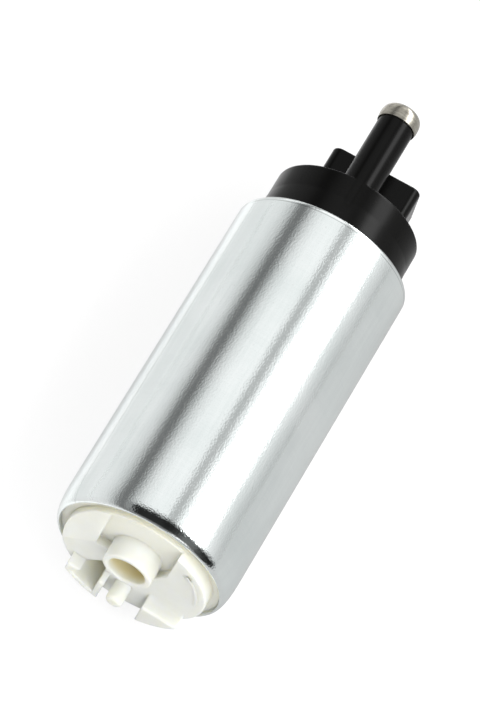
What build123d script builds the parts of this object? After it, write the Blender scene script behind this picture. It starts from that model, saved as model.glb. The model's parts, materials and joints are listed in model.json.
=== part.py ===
from build123d import *
from cmath import exp
from math import asin, cos, degrees, pi, radians, sin, sqrt, tan
import os

# An in-tank fuel pump for a car, lying on its side. Millimetres.
# The pump's axis is X, with the inlet end at -X and the outlet end at +X. +Z is up.
# The origin is on the axis, halfway along the can.
# Stations along the pump are X values. A height on an end is measured outwards from the can's end.

# Can
CAN_DIAMETER = 39.0
CAN_WALL = 0.9
CAN_LENGTH = 79.2
INLET_LIP = 1.45          # how far the rolled lip comes in from the can's outside
INLET_CURL = 6.5          # axial length over which the can draws in to the inlet lip
LIP_CURL = 1.3            # radial depth of that curl
CURL_INSIDE = 0.45        # radial depth of the curl on the inside, where the flange seats
CURL_SEAT = 1.6           # axial length of that seat
OUTLET_LIP = 2.55         # how far the lip at the outlet end comes in
SHOULDER = 0.8            # rounding of the can's edge at the outlet end
CAN_FIT = 0.1             # radial clearance of what sits in the can

# Inlet body, seen from outside: across is to the right, up is towards the top
INLET_TURN = 5.7          # degrees between the inlet body's across direction and the horizontal
FLANGE_THICK = 5.6
STEP_INSET = 1.95         # how far the step stands in from the can's lip
STEP_HEIGHT = 0.36        # this and the next five are heights beyond the can's end
LAND_HEIGHT = 2.26
LUG_HEIGHT = 5.16
MOUTH_HEIGHT = 5.36
PEG_HEIGHT = 6.95
NIPPLE_OUTSIDE = 10.8     # diameters of the inlet nipple
NIPPLE_BORE = 8.2
NIPPLE_ACROSS = -0.9
NIPPLE_UP = 3.8
PEG_DIAMETER = 3.7
PEG_UP = -9.3
SLOT_LEFT = -9.1          # walls of the slot that the nipple stands in
SLOT_RIGHT = 6.5
SLOT_FLOOR_LEFT = 1.7
SLOT_FLOOR_RIGHT = 5.1
LUG_TOP = -8.0            # how far up the lugs reach
LEFT_LUG_INNER = -3.4     # across, of the side that faces the other lug
RIGHT_LUG_INNER = 5.4
LEFT_LUG_EDGE = 2.84      # breadth of the outer side, from the lug's top to the step's edge
RIGHT_LUG_EDGE = 0.62
LUG_WALL = 1.3
SCOOP_STEP = 1.5          # across, of the slope on top of the left lug's scoop
POCKET_DEPTH = 1.5        # below the can's end
RAMP_TURN = 134.5         # degrees: the way the left land slopes down, and how steeply
RAMP_TILT = 11.5
RIB_INSET = 2.1           # low rib on the right land, in from the step's edge
RIB_WIDTH = 0.7
RIB_MIDDLE = 24.0         # degrees
RIB_SWEEP = 42.0          # degrees
RIB_HEIGHT = 0.25
DIMPLE_INSET = 2.17       # shallow round mark on the right land, in from the step's edge
DIMPLE_ANGLE = 44.1       # degrees
DIMPLE_DIAMETER = 1.8
LUG_BLEND = 2.0           # rounding between the right lug and the land
LUG_ROUND = 0.45
PEG_ROUND = 0.9
MOUTH_ROUND = 0.4
SEAL_SECTION = 1.6        # thickness of both sealing rings
SEAL_SQUEEZE = 0.05       # clearance round a sealing ring in its groove

# Pump section
PLATE_THICK = 2.0
ROTOR_THICK = 6.0
PORT_PLATE_THICK = 4.5
ROTOR_SIDE_GAP = 0.03     # axial clearance each side of the rotors
LOBES = 6                 # on the inner rotor; the outer rotor has one pocket more
ECCENTRICITY = 1.0
LOBE_PITCH_RADIUS = 9.0
LOBE_RADIUS = 2.6
LOBE_GAP = 0.04
RING_WALL = 5.41          # of the ring round the rotors, at its thinnest
ROTOR_FIT = 0.05
PORT_SWEEP = 130.0        # degrees
PORT_WIDTH = 2.6
PORT_RECESS = 2.5         # depth of the inlet port's recess in the inlet body
SCREW_DIAMETER = 2.5
SCREW_OFFSET = 0.2        # in from the middle of the ring's thinnest wall
SCREW_COUNT = 3
SCREW_GRIP = 3.2          # depth in the port plate
SCREW_HEAD = 4.6
SCREW_HEAD_DEPTH = 1.0
SCREW_HEAD_TAPER = 45.0   # degrees
DOWEL_DIAMETER = 2.4
DOWEL_GRIP = 1.6
FASTENER_FIT = 0.03
BUSH_OUTSIDE = 9.0
BUSH_STANDOUT = 2.0
BUSH_HOUSING = 2.0
SHAFT_DIAMETER = 5.0
SHAFT_FIT = 0.03
SHAFT_FLATS = 4.0         # across the two flats that drive the inner rotor
SHAFT_CHAMFER = 0.4

# Armature
WASHER_THICK = 0.8
RUN_GAP = 0.05            # axial clearance between stacked turning pieces
END_TURN_HEIGHT = 4.8
INSULATOR_THICK = 0.6
AIR_GAP = 0.65            # between the stack and the magnets
STACK_LENGTH = 20.0
SLOTS = 8
SLOT_OPENING = 1.8
SLOT_ROOT_WIDTH = 2.0
SLOT_ROOT_RADIUS = 6.2
TOOTH_TIP = 1.3
COPPER_GAP = 0.25
SPACER_DIAMETER = 8.0
COMMUTATOR_HUB = 7.0
COMMUTATOR_NECK = 9.2
COMMUTATOR_EDGE = 0.8      # beyond the brushes
COMMUTATOR_FLANGE = 2.0
CARBON_THICK = 2.0
CARBON_BORE = 8.6
CARBON_CUT = 0.5
HOOK_THICK = 0.5
HOOK_WIDTH = 1.6
END_TURN_ROUND = 1.6

# Field
SLEEVE_WALL = 1.2
MAGNET_WALL = 3.3
MAGNET_LENGTH = 28.0
MAGNET_ARC = 118.0        # degrees
MAGNET_FIT = 0.05
CLIP_WIRE = 1.6

# Outlet cap
PLUG_LENGTH = 13.4        # inside the can
CAP_RISE = 11.44          # cap's top face beyond the can's end
CAP_INSET = 0.6           # how far the cap's side stands in from the can's lip
CAP_NECK_FIT = 0.15       # radial gap between the neck and the can's lip
CAP_NECK_HEIGHT = 0.6     # straight neck beyond the can's end
CAP_FLARE_HEIGHT = 5.4    # slight cone above the neck
PLUG_WALL = 1.5           # between the cap's cavity and its seal's groove
ROOF_THICK = 6.1
CAP_RIM_ROUND = 0.35
HUB_DIAMETER = 10.8
HUB_GAP = 4.6             # between the commutator's face and the hub's end
TOP_BUSH_OUTSIDE = 8.0
TOP_BUSH_LENGTH = 7.0

# Outlet tube and its valve
TUBE_OUTSIDE = 7.94
TUBE_BORE = 4.8
TUBE_SIDE = -0.25         # Y of the tube's axis
TUBE_PROUD = 0.12         # how far it stands out beyond the cap's side
TUBE_LENGTH = 17.1        # from the cap's top to the ferrule
FERRULE_HEIGHT = 4.0
FERRULE_RIM = 8.5
FERRULE_BULGE = 8.8
FERRULE_TOP = 5.4
FERRULE_NECK = 6.6        # of the tube's end inside the ferrule
FERRULE_WALL = 0.5
VALVE_BORE = 5.8
VALVE_DEPTH = 12.5        # of the valve's bore, below the cap's roof
VALVE_SHOULDER = 3.0      # how far the bore goes up into the roof
VALVE_THROAT = 3.6
VALVE_THROAT_LENGTH = 1.5
VALVE_SEAT_BORE = 2.4
VALVE_SEAT_LENGTH = 3.0
POPPET_NOSE = 4.0
POPPET_FLANGE = 5.1
POPPET_FLANGE_THICK = 0.8
POPPET_STEM = 1.4
POPPET_STEM_LENGTH = 3.0
VALVE_BOSS = 8.0
SEAT_GAP = 0.03           # left between a valve and its seat
PRESS_GAP = 0.02          # left round pressed-in rings

# Relief valve
RELIEF_INSET = 4.15       # the valve's axis, in from the cap's side
RELIEF_BORE = 4.8
RELIEF_BOSS = 7.8
RELIEF_DEPTH = 5.5        # of the boss, below the roof
RELIEF_SEAT_BORE = 2.0
RELIEF_SEAT_LENGTH = 1.6
RELIEF_BALL = 3.4
RELIEF_RETAINER = 1.5
RELIEF_VENT = 1.8
RELIEF_RECESS = 0.8

# Connector
SHROUD_WIDTH = 20.4
SHROUD_SIDE = -0.9        # Y of the shroud's middle
SHROUD_CLEAR = 3.53       # between the shroud and the outlet tube
SHROUD_GAP = 1.3          # between the shroud and the relief valve's bore
SHROUD_RISE = 11.0        # beyond the cap's top
SHROUD_WALL = 1.5
SHROUD_CORNER = 2.0
BLADE_THICK = 0.8
BLADE_WIDTH = 2.8
BLADE_PITCH = 12.8
BLADE_STOP = 3.0          # blade's end, below the shroud's edge
BLADE_FIT = 0.03
ARM_WIDTH = 1.6           # of the arm that joins a blade to its choke
SHROUD_EDGE = 0.4         # rounding of the shroud's outer edge

# Brushes
BRUSH_INSET = 1.2         # a brush's middle, in from its choke's axis
BRUSH_WIDTH = 4.4
BRUSH_BREADTH = 6.0
BRUSH_LENGTH = 10.0
BRUSH_FIT = 0.08
HOLDER_WALL = 1.1
HOLDER_GAP = 3.9          # between the commutator's face and a holder's end
LEAD_SLOT = 3.0
LEAD_DIAMETER = 0.9
LEAD_UP = 1.5             # where the lead leaves the brush, in from its back

# Springs
BRUSH_SPRING_DIAMETER = 3.2        # across the middle of the wire, here and below
BRUSH_SPRING_WIRE = 0.44
BRUSH_SPRING_TURNS = 8
CHECK_SPRING_DIAMETER = 4.5
CHECK_SPRING_WIRE = 0.40
CHECK_SPRING_TURNS = 6
RELIEF_SPRING_DIAMETER = 2.4
RELIEF_SPRING_WIRE = 0.36
RELIEF_SPRING_TURNS = 5
SPRING_GAP = 0.05

# Chokes
CHOKE_INSET = 2.52        # a choke's axis, in from the wall of the cap's cavity
CHOKE_ANGLE = 43.1        # degrees below the brushes
CHOKE_CORE = 2.8
CHOKE_START = 7.34        # beyond the commutator's face
CHOKE_COIL_DIAMETER = 3.4
CHOKE_COIL_WIRE = 0.5
CHOKE_COIL_TURNS = 12

# Radii and stations that follow from the sizes above
can_r = CAN_DIAMETER / 2
bore_r = can_r - CAN_WALL
body_r = bore_r - CAN_FIT
lip_r = can_r - INLET_LIP
cap_lip_r = can_r - OUTLET_LIP
step_r = lip_r - STEP_INSET
shaft_r = SHAFT_DIAMETER / 2
shaft_hole_r = shaft_r + SHAFT_FIT

inlet_end = -CAN_LENGTH / 2
outlet_end = CAN_LENGTH / 2
flange_x = inlet_end + CAN_WALL
plate_x = flange_x + FLANGE_THICK
rotor_x = plate_x + PLATE_THICK
port_x = rotor_x + ROTOR_THICK
motor_x = port_x + PORT_PLATE_THICK
bush_end = motor_x + BUSH_STANDOUT
low_washer_x = bush_end + RUN_GAP
low_spacer_x = low_washer_x + WASHER_THICK + RUN_GAP
low_turn_x = low_spacer_x + 2 * WASHER_THICK
low_insulator_x = low_turn_x + END_TURN_HEIGHT + RUN_GAP
stack_x = low_insulator_x + INSULATOR_THICK
stack_end = stack_x + STACK_LENGTH
high_turn_x = stack_end + INSULATOR_THICK + RUN_GAP
commutator_x = high_turn_x + END_TURN_HEIGHT + COMMUTATOR_FLANGE
carbon_x = commutator_x + COMMUTATOR_FLANGE
face_x = carbon_x + CARBON_THICK
hub_x = face_x + HUB_GAP
top_bush_x = hub_x + RUN_GAP
high_washer_x = hub_x - RUN_GAP - WASHER_THICK
shaft_end = top_bush_x + TOP_BUSH_LENGTH + 2 * WASHER_THICK
skirt_x = outlet_end - CAN_WALL - PLUG_LENGTH
cap_top = outlet_end + CAP_RISE
roof_x = cap_top - ROOF_THICK
cap_r = cap_lip_r - CAP_INSET
tube_r = TUBE_OUTSIDE / 2
tube_up = cap_r - tube_r + TUBE_PROUD
tube_end = cap_top + TUBE_LENGTH
brush_x = face_x + RUN_GAP
brush_end = brush_x + BRUSH_LENGTH
foot_x = roof_x - BLADE_THICK

rotor_pockets = LOBES + 1
pocket_root_r = LOBE_PITCH_RADIUS + 2 * ECCENTRICITY - LOBE_RADIUS + LOBE_GAP
rotor_hole_r = body_r - RING_WALL - ECCENTRICITY
rotor_r = rotor_hole_r - ROTOR_FIT
screw_circle = body_r - RING_WALL / 2 - SCREW_OFFSET
fastener_r = SCREW_DIAMETER / 2
dowel_r = DOWEL_DIAMETER / 2
magnet_r = body_r - SLEEVE_WALL - MAGNET_FIT
stack_r = magnet_r - MAGNET_WALL - AIR_GAP
groove_r = bore_r - SEAL_SECTION - 2 * SEAL_SQUEEZE
cavity_r = groove_r - PLUG_WALL
choke_r = cavity_r - CHOKE_INSET
choke_side = choke_r * cos(radians(CHOKE_ANGLE))
choke_drop = choke_r * sin(radians(CHOKE_ANGLE))
choke_length = foot_x - face_x - CHOKE_START
brush_side = choke_side - BRUSH_INSET
commutator_r = brush_side + BRUSH_WIDTH / 2 + COMMUTATOR_EDGE
relief_drop = cap_r - RELIEF_INSET
shroud_top = tube_up - tube_r - SHROUD_CLEAR
shroud_depth = shroud_top + relief_drop - RELIEF_BORE / 2 - SHROUD_GAP
left_lug = (-sqrt(step_r**2 - (LUG_TOP - LEFT_LUG_EDGE) ** 2), LEFT_LUG_INNER)
right_lug = (RIGHT_LUG_INNER, sqrt(step_r**2 - (LUG_TOP - RIGHT_LUG_EDGE) ** 2))

pieces = {}


def inlet_plane(height):
    """The plane at a height beyond the can's inlet end, facing outwards, turned as the inlet body is."""
    turn = radians(INLET_TURN)
    return Plane(origin=(inlet_end - height, 0, 0), x_dir=(0, -cos(turn), -sin(turn)), z_dir=(-1, 0, 0))


def band(start, end, inner, outer, mode=Mode.ADD):
    """Draw the half section of a turned ring, from one station to another, in the current sketch."""
    with Locations(((start + end) / 2, (inner + outer) / 2)):
        Rectangle(end - start, outer - inner, mode=mode)


def beside_axis(side, up):
    """A section plane through a line that runs beside the pump's axis, with X along that line."""
    return Plane(origin=(0, side, up), x_dir=(1, 0, 0), z_dir=(0, -1, 0))


def line_along(side, up):
    """The axis of a piece that is turned about a line beside the pump's axis."""
    return Axis((0, side, up), (1, 0, 0))


def port_arc(side, middle_r, width, sweep_angle, mode=Mode.ADD):
    """Draw a bent slot in the current sketch. Side is the angle of its middle."""
    ends = [side - sweep_angle / 2, side, side + sweep_angle / 2]
    points = [(middle_r * cos(radians(a)), middle_r * sin(radians(a))) for a in ends]
    with BuildLine():
        route = ThreePointArc(*points)
    SlotArc(route, height=width, mode=mode)


def double_flat(radius, across, mode=Mode.ADD):
    """Draw a round section with two flats, above and below, in the current sketch."""
    half = sqrt(radius**2 - (across / 2) ** 2)
    with BuildLine() as loop:
        right = ThreePointArc((half, -across / 2), (radius, 0), (half, across / 2))
        left = ThreePointArc((-half, across / 2), (-radius, 0), (-half, -across / 2))
        Line(right @ 1, left @ 0)
        Line(left @ 1, right @ 0)
    make_face(loop.edges(), mode=mode)


def slot_shapes(gap, mode=Mode.ADD):
    """Draw the armature's slots in the current sketch, each made smaller all round by a gap."""
    slope = tan(radians(180 / SLOTS))
    inner = SLOT_ROOT_RADIUS + gap
    outer = stack_r - TOOTH_TIP - gap
    breadth = SLOT_ROOT_WIDTH + 2 * (outer - SLOT_ROOT_RADIUS) * slope - 2 * gap / cos(radians(180 / SLOTS))
    with PolarLocations((inner + outer) / 2, SLOTS):
        Trapezoid(breadth, outer - inner, 90 - 180 / SLOTS, rotation=90, mode=mode)


def stack_section(radius):
    """Draw the section of the armature's stack, with its slots open at the rim."""
    Circle(radius)
    Circle(shaft_hole_r, mode=Mode.SUBTRACT)
    slot_shapes(0, Mode.SUBTRACT)
    with PolarLocations(radius - TOOTH_TIP, SLOTS):
        Rectangle(2 * TOOTH_TIP + COPPER_GAP, SLOT_OPENING, mode=Mode.SUBTRACT)


def wound_wire(start, end, diameter, wire, turns, side, up):
    """A coil of round wire along X between two seats. Diameter is across the middle of the wire."""
    first = start + wire / 2 + SPRING_GAP
    length = end - wire / 2 - SPRING_GAP - first
    with BuildPart() as coil:
        with BuildLine():
            route = Helix(pitch=length / turns, height=length, radius=diameter / 2,
                          center=(first, side, up), direction=(1, 0, 0))
        with BuildSketch(Plane(origin=route @ 0, z_dir=route % 0)):
            Circle(wire / 2)
        sweep(path=route, is_frenet=True)
    return coil


# Can: a thin steel tube, rolled over at both ends
with BuildPart() as can:
    with BuildSketch(Plane.XZ):
        with BuildLine():
            curl = Bezier((inlet_end, can_r - LIP_CURL), (inlet_end, can_r - LIP_CURL / 2),
                          (inlet_end + INLET_CURL / 3, can_r), (inlet_end + INLET_CURL, can_r))
            shoulder = Bezier((outlet_end - SHOULDER, can_r), (outlet_end, can_r),
                              (outlet_end, can_r - SHOULDER))
            Line(curl @ 1, shoulder @ 0)
            Polyline(shoulder @ 1, (outlet_end, cap_lip_r), (outlet_end - CAN_WALL, cap_lip_r),
                     (outlet_end - CAN_WALL, bore_r), (flange_x + CURL_SEAT, bore_r),
                     (flange_x, bore_r - CURL_INSIDE), (flange_x, lip_r), (inlet_end, lip_r), curl @ 0)
        make_face()
    revolve(axis=Axis.X)
pieces["can"] = can


# Inlet body: flange, step, C-shaped land, two lugs, peg and nipple
nipple_at = (NIPPLE_ACROSS, NIPPLE_UP)
port_middle_r = LOBE_PITCH_RADIUS - LOBE_RADIUS + ECCENTRICITY / 2
dowel_places = PolarLocations(screw_circle, 2)
groove_x = (flange_x + plate_x) / 2
groove_half = SEAL_SECTION / 2 + SEAL_SQUEEZE
with BuildPart() as inlet_body:
    with BuildSketch(Plane.XZ):
        with BuildLine():
            Polyline((flange_x, 0), (flange_x, body_r - CURL_INSIDE), (flange_x + CURL_SEAT, body_r),
                     (plate_x, body_r), (plate_x, 0), close=True)
        make_face()
    revolve(axis=Axis.X)
    with BuildSketch(inlet_plane(-CAN_WALL)):
        Circle(step_r)
    extrude(amount=CAN_WALL + STEP_HEIGHT)
    with BuildSketch(inlet_plane(0)):
        Circle(step_r)
        with BuildLine():
            Polyline((SLOT_LEFT, step_r * 2), (SLOT_LEFT, SLOT_FLOOR_LEFT),
                     (NIPPLE_ACROSS, SLOT_FLOOR_LEFT), (SLOT_RIGHT - SLOT_FLOOR_LEFT, SLOT_FLOOR_LEFT),
                     (SLOT_RIGHT, SLOT_FLOOR_RIGHT), (SLOT_RIGHT, step_r * 2), close=True)
        make_face(mode=Mode.SUBTRACT)
    extrude(amount=LAND_HEIGHT)
    ramp_start = inlet_plane(LAND_HEIGHT).location * Pos(SLOT_LEFT, SLOT_FLOOR_LEFT)
    with Locations(ramp_start * Rot(0, 0, RAMP_TURN) * Rot(0, RAMP_TILT, 0)):
        Box(step_r, 2 * step_r, step_r, mode=Mode.SUBTRACT,
            align=(Align.MIN, Align.CENTER, Align.MIN))
    with BuildSketch(inlet_plane(LAND_HEIGHT)):
        port_arc(RIB_MIDDLE, step_r - RIB_INSET, RIB_WIDTH, RIB_SWEEP)
    extrude(amount=RIB_HEIGHT)
    with BuildSketch(inlet_plane(LAND_HEIGHT)):
        with PolarLocations(step_r - DIMPLE_INSET, 1, start_angle=DIMPLE_ANGLE):
            Circle(DIMPLE_DIAMETER / 2)
    extrude(amount=-RIB_HEIGHT, mode=Mode.SUBTRACT)
    # Both lugs stand on the land, inside the step's circle
    with BuildSketch(inlet_plane(STEP_HEIGHT)):
        for left, right in (left_lug, right_lug):
            with BuildLine():
                Polyline((left, LUG_TOP), (right, LUG_TOP), (right, -step_r * 2),
                         (left, -step_r * 2), close=True)
            make_face()
        Circle(step_r, mode=Mode.INTERSECT)
    extrude(amount=LUG_HEIGHT - STEP_HEIGHT)
    lug_foot = inlet_plane(LAND_HEIGHT).from_local_coords((RIGHT_LUG_INNER, LUG_TOP, 0))
    with BuildSketch(Plane(lug_foot, inlet_plane(0).y_dir, inlet_plane(0).x_dir)):
        with BuildLine():
            blend = Bezier((LUG_BLEND, 0), (0, 0), (0, LUG_BLEND))
            Polyline(blend @ 1, (-LUG_WALL, LUG_BLEND), (-LUG_WALL, -LUG_WALL), (LUG_BLEND, -LUG_WALL),
                     blend @ 0)
        make_face()
    extrude(amount=right_lug[1] - right_lug[0])
    # Scoop inside the left lug, open towards the nipple
    with BuildSketch(inlet_plane(LUG_HEIGHT)):
        scoop_left = left_lug[0] + LUG_WALL
        scoop_right = LEFT_LUG_INNER - LUG_WALL
        with BuildLine():
            Polyline((scoop_left, LUG_TOP - LUG_WALL * 1.8),
                     (scoop_right - SCOOP_STEP, LUG_TOP + LUG_WALL * 2.7),
                     (scoop_right, LUG_TOP + LUG_WALL * 2), (scoop_right, -step_r),
                     (scoop_left, -step_r), close=True)
        make_face()
        Circle(step_r - LUG_WALL, mode=Mode.INTERSECT)
    extrude(amount=-(LUG_HEIGHT + POCKET_DEPTH), mode=Mode.SUBTRACT)
    fillet(inlet_body.edges().group_by(Axis.X)[0], LUG_ROUND)
    with BuildSketch(inlet_plane(0)):
        with Locations((0, PEG_UP)):
            Circle(PEG_DIAMETER / 2)
    extrude(amount=PEG_HEIGHT)
    fillet(inlet_body.edges().group_by(Axis.X)[0], PEG_ROUND)
    with BuildSketch(inlet_plane(0)):
        with Locations(nipple_at):
            Circle(NIPPLE_OUTSIDE / 2)
    extrude(amount=MOUTH_HEIGHT)
    with BuildSketch(inlet_plane(MOUTH_HEIGHT)):
        with Locations(nipple_at):
            Circle(NIPPLE_BORE / 2)
    extrude(amount=-(MOUTH_HEIGHT + CAN_WALL + FLANGE_THICK), mode=Mode.SUBTRACT)
    mouth = inlet_plane(MOUTH_HEIGHT).from_local_coords((NIPPLE_ACROSS, NIPPLE_UP, 0))
    fillet(inlet_body.edges().filter_by(GeomType.CIRCLE).sort_by_distance(mouth)[0:2], MOUTH_ROUND)
    # Recess that leads the fuel from the nipple to the inlet port, and holes for the dowels
    with BuildSketch(Plane.YZ.offset(plate_x - PORT_RECESS)):
        port_arc(0, port_middle_r, PORT_WIDTH, PORT_SWEEP)
    extrude(amount=PORT_RECESS, mode=Mode.SUBTRACT)
    with BuildSketch(Plane.YZ.offset(plate_x - DOWEL_GRIP - FASTENER_FIT)):
        with dowel_places:
            Circle(dowel_r + FASTENER_FIT)
    extrude(amount=DOWEL_GRIP + FASTENER_FIT, mode=Mode.SUBTRACT)
    with BuildSketch(Plane.XZ):
        band(groove_x - groove_half, groove_x + groove_half, groove_r, can_r)
    revolve(axis=Axis.X, mode=Mode.SUBTRACT)
pieces["inlet_body"] = inlet_body

# Sealing rings in the inlet body and in the outlet cap
cap_groove_x = outlet_end - CAN_WALL - PLUG_LENGTH / 2
for name, middle in (("inlet_seal", groove_x), ("outlet_seal", cap_groove_x)):
    with BuildPart() as seal:
        with BuildSketch(Plane.XZ):
            with Locations((middle, bore_r - SEAL_SQUEEZE - SEAL_SECTION / 2)):
                Circle(SEAL_SECTION / 2)
        revolve(axis=Axis.X)
    pieces[name] = seal

# Pump section: two plates with an eccentric ring between them
screw_places = PolarLocations(screw_circle, SCREW_COUNT, start_angle=30)
countersink_r = SCREW_HEAD / 2 + 2 * FASTENER_FIT

with BuildPart() as inlet_plate:
    with BuildSketch(Plane.YZ.offset(plate_x)):
        Circle(body_r)
        port_arc(0, port_middle_r, PORT_WIDTH, PORT_SWEEP, Mode.SUBTRACT)
        with dowel_places:
            Circle(dowel_r + FASTENER_FIT, mode=Mode.SUBTRACT)
        with screw_places:
            Circle(fastener_r + FASTENER_FIT, mode=Mode.SUBTRACT)
    extrude(amount=PLATE_THICK)
    with BuildSketch(Plane.YZ.offset(plate_x)):
        with screw_places:
            Circle(countersink_r)
    extrude(amount=SCREW_HEAD_DEPTH + FASTENER_FIT, taper=SCREW_HEAD_TAPER, mode=Mode.SUBTRACT)
pieces["inlet_plate"] = inlet_plate

with BuildPart() as pump_ring:
    with BuildSketch(Plane.YZ.offset(rotor_x)):
        Circle(body_r)
        with Locations((0, ECCENTRICITY)):
            Circle(rotor_hole_r, mode=Mode.SUBTRACT)
        with dowel_places:
            Circle(dowel_r + FASTENER_FIT, mode=Mode.SUBTRACT)
        with screw_places:
            Circle(fastener_r + FASTENER_FIT, mode=Mode.SUBTRACT)
    extrude(amount=ROTOR_THICK)
pieces["pump_ring"] = pump_ring

with BuildPart() as port_plate:
    with BuildSketch(Plane.YZ.offset(port_x)):
        Circle(body_r)
        port_arc(180, port_middle_r, PORT_WIDTH, PORT_SWEEP, Mode.SUBTRACT)
    extrude(amount=PORT_PLATE_THICK)
    with BuildSketch(Plane.YZ.offset(port_x)):
        Circle(BUSH_OUTSIDE / 2 + BUSH_HOUSING)
    extrude(amount=PORT_PLATE_THICK + BUSH_STANDOUT)
    with BuildSketch(Plane.YZ.offset(port_x)):
        Circle(BUSH_OUTSIDE / 2 + PRESS_GAP)
    extrude(amount=PORT_PLATE_THICK + BUSH_STANDOUT, mode=Mode.SUBTRACT)
    with BuildSketch(Plane.YZ.offset(port_x)):
        with dowel_places:
            Circle(dowel_r + FASTENER_FIT)
    extrude(amount=DOWEL_GRIP + FASTENER_FIT, mode=Mode.SUBTRACT)
    with BuildSketch(Plane.YZ.offset(port_x)):
        with screw_places:
            Circle(fastener_r + FASTENER_FIT)
    extrude(amount=SCREW_GRIP + FASTENER_FIT, mode=Mode.SUBTRACT)
pieces["port_plate"] = port_plate

with BuildPart() as pump_screws:
    with BuildSketch(Plane.YZ.offset(plate_x + FASTENER_FIT)):
        with screw_places:
            Circle(SCREW_HEAD / 2)
    extrude(amount=SCREW_HEAD_DEPTH, taper=SCREW_HEAD_TAPER)
    with BuildSketch(Plane.YZ.offset(plate_x + FASTENER_FIT)):
        with screw_places:
            Circle(fastener_r)
    extrude(amount=PLATE_THICK + ROTOR_THICK + SCREW_GRIP - FASTENER_FIT)
    with BuildSketch(Plane.YZ.offset(plate_x + FASTENER_FIT)):
        with screw_places:
            RegularPolygon(SCREW_HEAD / 5, 6)
    extrude(amount=SCREW_HEAD_DEPTH * 0.8, mode=Mode.SUBTRACT)
pieces["pump_screws"] = pump_screws

with BuildPart() as dowel_pins:
    with BuildSketch(Plane.YZ.offset(plate_x - DOWEL_GRIP)):
        with dowel_places:
            Circle(dowel_r)
    extrude(amount=PLATE_THICK + ROTOR_THICK + 2 * DOWEL_GRIP)
pieces["dowel_pins"] = dowel_pins

# The outer rotor turns about its own axis, above the pump's axis by the eccentricity
rotor_length = ROTOR_THICK - 2 * ROTOR_SIDE_GAP
with BuildPart() as outer_rotor:
    with BuildSketch(Plane.YZ.offset(rotor_x + ROTOR_SIDE_GAP)):
        with Locations((0, ECCENTRICITY)):
            Circle(rotor_r)
            Circle(pocket_root_r, mode=Mode.SUBTRACT)
            with PolarLocations(LOBE_PITCH_RADIUS, rotor_pockets, start_angle=90):
                Circle(LOBE_RADIUS)
            Circle(rotor_r, mode=Mode.INTERSECT)
    extrude(amount=rotor_length)
pieces["outer_rotor"] = outer_rotor

# The inner rotor's outline runs beside the path that a lobe of the outer rotor takes over it
outline_steps = 16 * LOBES
outline = []
for step in range(outline_steps):
    arm = LOBE_PITCH_RADIUS * exp(2j * pi * step / outline_steps)
    crank = ECCENTRICITY * exp(2j * pi * rotor_pockets * step / outline_steps)
    outwards = arm + rotor_pockets * crank
    place = 1j * (arm + crank - (LOBE_RADIUS + LOBE_GAP) * outwards / abs(outwards))
    outline.append((place.real, place.imag))

with BuildPart() as inner_rotor:
    with BuildSketch(Plane.YZ.offset(rotor_x + ROTOR_SIDE_GAP)):
        with BuildLine():
            Spline(*outline, periodic=True)
        make_face()
        double_flat(shaft_hole_r, SHAFT_FLATS + 2 * SHAFT_FIT, Mode.SUBTRACT)
    extrude(amount=rotor_length)
pieces["inner_rotor"] = inner_rotor

# Shaft, its two bushes, and what is stacked along it
shaft_x = rotor_x + ROTOR_SIDE_GAP
with BuildPart() as shaft:
    with BuildSketch(Plane.YZ.offset(shaft_x)):
        double_flat(shaft_r, SHAFT_FLATS)
    extrude(amount=port_x - shaft_x)
    with BuildSketch(Plane.YZ.offset(port_x)):
        Circle(shaft_r)
    extrude(amount=shaft_end - port_x)
    chamfer(shaft.edges().group_by(Axis.X)[-1], SHAFT_CHAMFER)
pieces["shaft"] = shaft

turned_rings = {
    "lower_bush": (port_x + RUN_GAP, bush_end, shaft_hole_r, BUSH_OUTSIDE / 2),
    "upper_bush": (top_bush_x, top_bush_x + TOP_BUSH_LENGTH, shaft_hole_r, TOP_BUSH_OUTSIDE / 2),
    "lower_washer": (low_washer_x, low_washer_x + WASHER_THICK, shaft_hole_r, BUSH_OUTSIDE / 2),
    "upper_washer": (high_washer_x, high_washer_x + WASHER_THICK, shaft_hole_r, TOP_BUSH_OUTSIDE / 2),
    "lower_spacer": (low_spacer_x, low_insulator_x, shaft_hole_r, SPACER_DIAMETER / 2),
    "upper_spacer": (face_x, high_washer_x - RUN_GAP, shaft_hole_r, COMMUTATOR_HUB / 2),
    "flux_sleeve": (motor_x, skirt_x, body_r - SLEEVE_WALL, body_r),
}
for name, (start, end, inner, outer) in turned_rings.items():
    with BuildPart() as ring:
        with BuildSketch(Plane.XZ):
            band(start, end, inner, outer)
        revolve(axis=Axis.X)
    pieces[name] = ring

# Armature: slotted stack, insulating ends, windings
slot_tip_r = stack_r - TOOTH_TIP
with BuildPart() as lamination_stack:
    with BuildSketch(Plane.YZ.offset(stack_x)):
        stack_section(stack_r)
    extrude(amount=STACK_LENGTH)
pieces["lamination_stack"] = lamination_stack

with BuildPart() as end_insulators:
    for start in (low_insulator_x, stack_end):
        with BuildSketch(Plane.YZ.offset(start)):
            stack_section(stack_r - INSULATOR_THICK / 2)
        extrude(amount=INSULATOR_THICK)
pieces["end_insulators"] = end_insulators

with BuildPart() as windings:
    with BuildSketch(Plane.XZ):
        for start in (low_turn_x, high_turn_x):
            band(start, start + END_TURN_HEIGHT, SLOT_ROOT_RADIUS - COPPER_GAP, slot_tip_r)
    revolve(axis=Axis.X)
    fillet(windings.edges().filter_by(GeomType.CIRCLE).group_by(SortBy.RADIUS)[-1], END_TURN_ROUND)
    with BuildSketch(Plane.YZ.offset(low_turn_x + END_TURN_HEIGHT / 2)):
        slot_shapes(COPPER_GAP)
    extrude(amount=high_turn_x - low_turn_x)
pieces["windings"] = windings

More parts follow.
